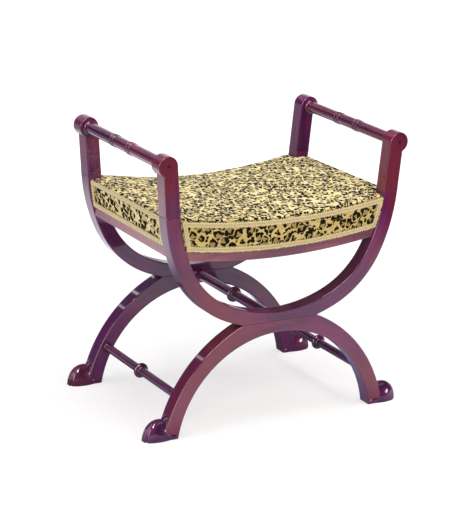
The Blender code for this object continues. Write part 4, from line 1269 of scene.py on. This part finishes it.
# One side of a gimp frame between its outer and inner corners, mitred, its edges drawn in between picots
def gimpStrip(onPanel, outerEnds, innerEnds, start):
    (first, last), (innerFirst, innerLast) = np.array(outerEnds), np.array(innerEnds)
    length = np.linalg.norm(last - first)
    t = np.linspace(0.0, 1.0, int(length / gimp["step"]))[:, None]
    c = np.linspace(-1.0, 1.0, gimp["columns"])[None, :]
    s = start + t * length
    outer = first + (last - first) * t
    reach = innerFirst + (innerLast - innerFirst) * t - outer
    across = reach / np.linalg.norm(reach, axis=1)[:, None]
    flat = outer[:, None, :] + reach[:, None, :] * ((c + 1) / 2)[..., None]
    scallop = gimp["picot"] * np.clip(0.5 + 0.8 * np.cos(2 * math.pi * s / gimp["pitch"]), 0.0, 1.0)
    edgeStart, edgeWidth = gimp["picotEdge"]
    edge = np.sign(c) * np.clip((np.abs(c) - edgeStart) / edgeWidth, 0.0, 1.0)
    flat = flat + across[:, None, :] * (edge * scallop - edge * gimp["picot"])[..., None]
    relief = braid(s, c)
    height = gimp["lift"] + (gimp["base"] + gimp["relief"] * relief)
    under, normal = onPanel(flat[..., 0], flat[..., 1])
    low = [under[:, k] + normal[:, k] * gimp["lift"] for k in (-1, 0)]
    points = np.concatenate([under + normal * height[..., None], np.stack(low, 1)], 1)
    uv = np.stack(np.broadcast_arrays(s, np.pad(c[0] * gimp["mapHalf"], (0, 2))), -1)
    return points, np.pad(relief, ((0, 0), (0, 2))), uv


def gimpFrame(name, onPanel, corner, look):
    low, high, width = gimp["low"], gimp["high"], gimp["width"]
    ring = ((-1, low, width), (1, low, width), (1, high, -width), (-1, high, -width))
    outer = [corner(hand, height, 0.0) for hand, height, up in ring]
    inner = [corner(hand, height + up, width) for hand, height, up in ring]
    points, faces, shade, uvs = [], [], [], []
    total, run = 0, 0.0
    for k, m in ((0, 1), (1, 2), (2, 3), (3, 0)):
        strip, relief, uv = gimpStrip(onPanel, (outer[k], outer[m]), (inner[k], inner[m]), run)
        faces += ringFaces(*relief.shape, total, True)
        run += gimp["stripShift"]
        total += relief.size
        points.append(strip.reshape(-1, 3))
        shade.append(relief.ravel())
        uvs.append(uv.reshape(-1, 2))
    extra = {"relief": np.concatenate(shade)}
    dress(name, np.vstack(points), faces, look, uv=np.vstack(uvs), extra=extra, sharp=75.0)


def gimpLook():
    look, tree, shader = newLook("gimpBraid", gimp["finish"])
    relief = attribute(tree, "relief", "Fac")
    stretched = vectorCalc(tree, "MULTIPLY", clothMap(tree), gimp["threadStretch"])
    thread = noise(tree, stretched, 1.0, 2.0)
    dark, pale, mixed = (srgb(*gimp[key]) for key in ("dark", "pale", "thread"))
    # Painted shade and light: the braid darker where its relief lies low, between cords and strands, and
    # paler where it stands high
    colour = mixColour(tree, ease(tree, relief, 0.20, 0.80), dark, pale)
    colour = mixColour(tree, ease(tree, thread, 0.35, 0.65, 0.0, gimp["threadShare"]), colour, mixed)
    plug(tree, shader, {"Base Color": colour, "Normal": bump(tree, thread, gimp["threadDepth"], 0.8)})
    return look


# A side of the cover: points and normals by place along it and height, and the corners of its gimp
def panel(sign, isEnd):
    half, lean = (seat["halfX"], seat["sideLean"]) if isEnd else (seat["halfY"], seat["frontLean"])
    clear = seat["notchClear"]

    def onPanel(along, height):
        out = sign * (half + swell(height, lean))
        slope = (swell(height + 1e-4, lean) - swell(height - 1e-4, lean)) / 2e-4
        flat, face = np.zeros_like(along), np.full_like(along, float(sign))
        normal = np.stack([face, flat, -slope] if isEnd else [flat, face, -slope], -1)
        normal /= np.linalg.norm(normal, axis=-1)[..., None]
        x, y = (out, along) if isEnd else (along, out)
        return np.stack([x, y, seatZ(x, y, height)], -1), normal

    def corner(hand, height, inset):
        reach = innerY - clear - gimp["end"] if isEnd else meet(coverLow + height, clear + gimp["end"])
        return hand * (reach - inset), height

    return onPanel, corner


braidLook = gimpLook()
for isEnd, pair in ((False, frames), (True, sides)):
    for where, sign in pair:
        gimpFrame(where + "_gimp", *panel(sign, isEnd), braidLook)
print("gimp made")


# Jute for webbing and hessian: a plain weave with painted shade between its threads, and darker in stains
def jute(name, pale, dark, threads, distance):
    look, tree, shader = newLook(name, {"Roughness": 0.9, "Specular IOR Level": 0.2})
    cloth = clothMap(tree)
    woven = useGroup(tree, plainWeave, {"Cloth": cloth, "Threads": threads})
    colour = mixColour(tree, ease(tree, woven["Height"], -0.1, 0.9), srgb(*dark), srgb(*pale))
    mark = ease(tree, noise(tree, cloth, 16.0, 4.0), 0.45, 0.75, 0.0, 0.4)
    colour = mixColour(tree, mark, colour, srgb(*dark))
    plug(tree, shader, {"Base Color": colour, "Normal": bump(tree, woven["Height"], distance)})
    return look


# Webbing straps, interlaced, thin closed sheets
straps = {
    "thick": 0.0012,
    "width": 0.050,
    "columns": 13,
    "swing": 0.0012,
    "crossPitch": 0.092,
    "crossCount": 5,
    "crossStations": 97,
    "longPitch": 0.100,
    "longCount": 3,
    "longStations": 129,
    "margin": 0.007,
    "recess": 0.006,
    "clear": 0.0005,
    "jute": ((196, 170, 124), (120, 94, 58), 620.0, 0.00035),
}
webMiddle = railTop + straps["clear"] + straps["swing"] + straps["thick"] / 2


# Rise of a strap: over one crossing strap and under the next, then down on the rail
def weaveRise(run, pitch, count, over, rail):
    last = (count - 1) / 2 * pitch
    inside = over * straps["swing"] * np.cos(math.pi * (run + last) / pitch)
    endOver = np.where(run < 0, over, over * (-1) ** (count - 1))
    share = np.clip((np.abs(run) - last) / (rail - last), 0.0, 1.0)
    beyond = straps["swing"] * ((endOver + 1) * (1 + np.cos(math.pi * share)) / 2 - 1)
    return np.where(np.abs(run) <= last, inside, beyond)


def strapPiece(name, points, look, uv):
    rows, columns = points.shape[:2]
    down = np.array([0.0, 0.0, straps["thick"] / 2])
    both = np.concatenate([points + down, (points - down)[:, ::-1]], 1)
    faces = ringFaces(rows, 2 * columns)
    for first in (0, (rows - 1) * 2 * columns):
        last = first + 2 * columns - 1
        faces += [[first + k, first + k + 1, last - k - 1, last - k] for k in range(columns - 1)]
    uv = np.concatenate([uv, uv[:, ::-1]], 1).reshape(-1, 2)
    dress(name, both, faces, look, uv=uv, sharp=60.0)


def makeStraps():
    look = jute("webbing", *straps["jute"])
    across = np.linspace(-straps["width"] / 2, straps["width"] / 2, straps["columns"])
    sideIn, sideOut = railFaces("right_seat_rail")
    for kind, other, over, rail, far, shift in (
        ("cross", "long", 1, innerY, outerY - straps["recess"], 0.0),
        ("long", "cross", -1, sideIn, sideOut, 2.0),
    ):
        end = far - straps["margin"]
        stations = np.linspace(-end, end, straps[kind + "Stations"])
        run, beside = np.meshgrid(stations, across, indexing="ij")
        for number in range(straps[kind + "Count"]):
            place = (number - (straps[kind + "Count"] - 1) / 2) * straps[kind + "Pitch"] + beside
            crossing = (straps[other + "Pitch"], straps[other + "Count"])
            rise = weaveRise(run, *crossing, over * (-1) ** number, rail)
            x, y = (place, run) if kind == "cross" else (run, place)
            points = np.stack([x, y, webMiddle + dish(x) + rise], -1)
            uv = np.stack([beside + 0.3 * number + shift, run], -1)
            strapPiece(f"{kind}_strap_{number + 1}", points, look, uv)


deck = {
    "thick": 0.0008,
    "lift": 0.0010,
    "inset": 0.0005,
    "below": 0.0010,
    "jute": ((186, 156, 108), (104, 80, 46), 420.0, 0.0004),
}


# Deck: hessian stretched over the straps, cut round the posts
def makeDeck():
    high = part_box("hessian_deck")[1]
    i, j, sheet, edge, rim = planSheet()
    notchX, notchY = planLines(seat["thick"] + deck["inset"], seat["deckTop"] - deck["below"])[:2]
    gx = spread(notchX, high.x, *seat["columns"])[i]
    gy = spread(notchY, high.y, *seat["rows"])[j]
    middle = webMiddle + straps["swing"] + straps["thick"] / 2 + deck["lift"]
    upper = np.stack([gx, gy, middle + deck["thick"] / 2 + dish(gx)], 1)
    points = np.vstack([upper, upper - np.array([0.0, 0.0, deck["thick"]])])
    after, count = np.roll(rim, -1), len(upper)
    faces = sheet.tolist() + (sheet[:, ::-1] + count).tolist()
    faces += np.stack([rim, rim + count, after + count, after], -1).tolist()
    uv = np.vstack([np.stack([gx, gy], 1)] * 2)
    look = jute("hessian", *deck["jute"])
    piece = dress("hessian_deck", points, faces, look, uv=uv, sharp=60.0)


makeStraps()
makeDeck()
print("straps and deck made")

# Carried-over solids: hidden dowels and corner blocks take the beech figure from their own places
grainOrders = {"dowel": [2, 0, 1], "block": [0, 1, 2]}
for name, node in nodes.items():
    order = grainOrders.get(name.split("_")[-1])
    if order:
        mesh = node.data
        writeLayer(mesh, "grain", readVectors(mesh.vertices, "co")[:, order], "FLOAT_VECTOR", "vector")
        mesh.materials.clear()
        mesh.materials.append(looks["beech"])


# Floor: a pale sweep, white to the eye except where shadow falls; what shines in the polish
# is the sweep round the bench, and it ends a short way in front, where the room is dark
sweep = {
    "reach": 30.0,
    "seenNear": 0.63,
    "frontShine": 1.1,
    "behindShine": 1.45,
    "behindFar": 0.35,
    "shadeShine": 0.55,
    "shineTint": (0.93, 0.89, 1.0, 1.0),
    "shadeTint": (0.60, 0.58, 1.0, 1.0),
    "paper": (0.80, 0.77, 0.80, 1.0),
    "paperSeen": (0.415, 0.39, 0.345, 1.0),
}
white = (1.0, 1.0, 1.0, 1.0)
black = (0.0, 0.0, 0.0, 1.0)


def makeFloor():
    mesh = bpy.data.meshes.new("floor")
    corners = [(x * sweep["reach"], y * sweep["reach"], 0) for x, y in ((-1, -1), (1, -1), (1, 1), (-1, 1))]
    mesh.from_pydata(corners, [], [(0, 1, 2, 3)])
    look = bpy.data.materials.new("floor")
    look.use_nodes = True
    tree = look.node_tree
    tree.nodes.clear()
    place = addNode(tree, "ShaderNodeTexCoord").outputs["Object"]
    x, y, z = split(tree, place)
    away = vectorCalc(tree, "LENGTH", place, output="Value")
    ray = addNode(tree, "ShaderNodeLightPath").outputs
    seen = ease(tree, away, 0.6, 2.2, sweep["seenNear"], 1.0)
    front = ease(tree, y, -2.3, -1.1, 0.0, sweep["frontShine"])
    front = times(tree, front, ease(tree, x, 1.25, 0.75), ease(tree, y, 0.35, -0.15))
    behind = ease(tree, y, 0.1, 0.7, 0.0, sweep["behindShine"])
    behind = times(tree, behind, ease(tree, y, 1.7, 1.0, sweep["behindFar"], 1.0))
    # Painted shadow: under the bench the floor's glow seen in the polish is dimmer and bluer
    shade = ease(tree, absolute(tree, x), 0.44, 0.28)
    shade = times(tree, shade, ease(tree, absolute(tree, minus(tree, y, 0.1)), 0.46, 0.26))
    shine = times(tree, plus(tree, front, behind), ease(tree, shade, 0.0, 1.0, 1.0, sweep["shadeShine"]))
    strength = mixValue(tree, ray["Is Camera Ray"], mixValue(tree, ray["Is Glossy Ray"], 0.0, shine), seen)
    near = mixColour(tree, shade, sweep["shineTint"], sweep["shadeTint"])
    tint = mixColour(tree, ray["Is Camera Ray"], near, white)
    glow = addNode(tree, "ShaderNodeEmission", None, {"Color": tint, "Strength": strength})
    paper = mixColour(tree, ray["Is Camera Ray"], sweep["paper"], sweep["paperSeen"])
    paper = mixColour(tree, ray["Is Glossy Ray"], paper, black)
    matt = addNode(tree, "ShaderNodeBsdfDiffuse", None, {"Color": paper})
    both = addNode(tree, "ShaderNodeAddShader", None, {0: glow.outputs[0], 1: matt.outputs[0]})
    addNode(tree, "ShaderNodeOutputMaterial", None, {"Surface": both.outputs[0]})
    mesh.materials.append(look)
    addObject("floor", mesh)


# Studio: white to the camera; in the polish a dim blue room with a bright wall behind on the right, three
# narrow strips behind and two bright boxes in front. A strip has its turn, half width and glare, a box its
# direction, the cosines of its inner and outer rim and its glare
room = {
    "fill": (0.42, 0.46, 1.0, 1.0),
    "fillStrength": 0.30,
    "low": (0.05, 0.04, 0.14, 1.0),
    "high": (0.16, 0.13, 0.20, 1.0),
    "wall": (1.05, 0.92, 0.98, 1.0),
    "strips": ((-0.62, 0.02, 2.6), (-0.32, 0.022, 3.2), (0.06, 0.02, 2.8)),
    "boxes": (((-0.103, -0.724, 0.682), 0.970, 0.960, 14.0), ((-0.80, -0.52, 0.30), 0.962, 0.940, 9.0)),
}
# Soft lamps on the left, overhead and in front, and a small key lamp, the only one seen in the polish;
# each has its place, target, size, power and colour
lamps = (
    ("leftLamp", (-2.6, 0.2, 1.5), (0.0, 0.0, 0.35), 2.4, 40.0, (0.97, 0.98, 1.0)),
    ("topLamp", (0.3, -0.2, 3.0), (0.0, 0.0, 0.3), 2.6, 94.0, (0.90, 0.95, 1.0)),
    ("frontLamp", (0.9, -3.2, 1.9), (0.0, 0.0, 0.3), 2.2, 58.0, (1.0, 0.94, 0.85)),
    ("keyLamp", (-1.7, -2.8, 2.7), (0.0, 0.0, 0.3), 0.55, 24.0, (1.0, 0.97, 0.93)),
)


def makeRoom():
    world = bpy.context.scene.world or bpy.data.worlds.new("world")
    bpy.context.scene.world = world
    world.use_nodes = True
    tree = world.node_tree
    tree.nodes.clear()

    def background(colour, strength=1.0):
        feeds = {"Color": colour, "Strength": strength}
        return addNode(tree, "ShaderNodeBackground", None, feeds).outputs[0]

    def choose(share, first, second):
        return addNode(tree, "ShaderNodeMixShader", None, {0: share, 1: first, 2: second}).outputs[0]

    ray = addNode(tree, "ShaderNodeLightPath").outputs
    aim = addNode(tree, "ShaderNodeTexCoord").outputs["Generated"]
    toRight, rear, height = split(tree, aim)
    sky = mixColour(tree, ease(tree, height, 0.45, 0.95), room["low"], room["high"])
    wall = times(tree, ease(tree, height, 0.60, 0.30), ease(tree, rear, -0.1, 0.35))
    wall = times(tree, wall, ease(tree, toRight, -0.25, 0.30))
    sky = mixColour(tree, wall, sky, room["wall"])
    around = calc(tree, "ARCTAN2", toRight, height)
    behind = times(tree, ease(tree, rear, 0.45, 0.60), ease(tree, rear, 0.97, 0.90))
    for turn, half, glare in room["strips"]:
        off = absolute(tree, minus(tree, around, turn))
        strip = times(tree, behind, ease(tree, off, half * 1.4, half * 0.6))
        sky = mixColour(tree, strip, sky, (glare, glare * 0.95, glare, 1.0))
    for box, inner, outer, glare in room["boxes"]:
        facing = vectorCalc(tree, "DOT_PRODUCT", aim, box, output="Value")
        light = (glare, glare * 0.98, glare * 0.965, 1.0)
        sky = mixColour(tree, ease(tree, facing, outer, inner), sky, light)
    unseen = choose(ray["Is Glossy Ray"], background(room["fill"], room["fillStrength"]), background(sky))
    surface = choose(ray["Is Camera Ray"], unseen, background(white))
    addNode(tree, "ShaderNodeOutputWorld", None, {"Surface": surface})


def makeLamps():
    for name, where, target, size, power, colour in lamps:
        light = bpy.data.lights.new(name, "AREA")
        light.shape = "SQUARE"
        light.size = size
        light.energy = power
        light.color = colour
        lamp = addObject(name, light)
        lamp.visible_glossy = name == "keyLamp"
        lamp.matrix_world = lookAlong(where, np.array(target) - np.array(where))


# Placement of a lamp at a point, looking along a direction
def lookAlong(where, aim):
    back = -aim / np.linalg.norm(aim)
    right = np.cross((0.0, 0.0, 1.0), back)
    right /= np.linalg.norm(right)
    return axesMatrix(right, np.cross(back, right), back, where)


def axesMatrix(right, up, back, where):
    matrix = Matrix.Identity(4)
    for row in range(3):
        matrix[row] = right[row], up[row], back[row], where[row]
    return matrix


# Camera at the photograph's place, turned a little about its own axis
view = {
    "place": (-2.2217, -3.7936, 1.6844),
    "azimuth": 0.529540646,
    "elevation": 0.304655408,
    "roll": -0.0375132462,
    "focal": 2040.37,
    "imageHeight": 532,
    "sensorHeight": 36.0,
    "clipEnd": 100.0,
}


def makeCamera():
    az, el, roll = view["azimuth"], view["elevation"], view["roll"]
    forward = np.array([math.sin(az) * math.cos(el), math.cos(az) * math.cos(el), -math.sin(el)])
    right = np.array([math.cos(az), -math.sin(az), 0.0])
    down = np.cross(forward, right)
    imageRight = math.cos(roll) * right + math.sin(roll) * down
    imageDown = -math.sin(roll) * right + math.cos(roll) * down
    lens = bpy.data.cameras.new("camera")
    lens.sensor_fit = "VERTICAL"
    lens.sensor_height = view["sensorHeight"]
    lens.lens = view["focal"] * view["sensorHeight"] / view["imageHeight"]
    lens.clip_end = view["clipEnd"]
    camera = addObject("camera", lens)
    camera.matrix_world = axesMatrix(imageRight, -imageDown, -forward, view["place"])
    bpy.context.scene.camera = camera


makeFloor()
makeRoom()
makeLamps()
makeCamera()
bpy.context.scene.view_settings.view_transform = "Standard"
bpy.context.view_layer.update()
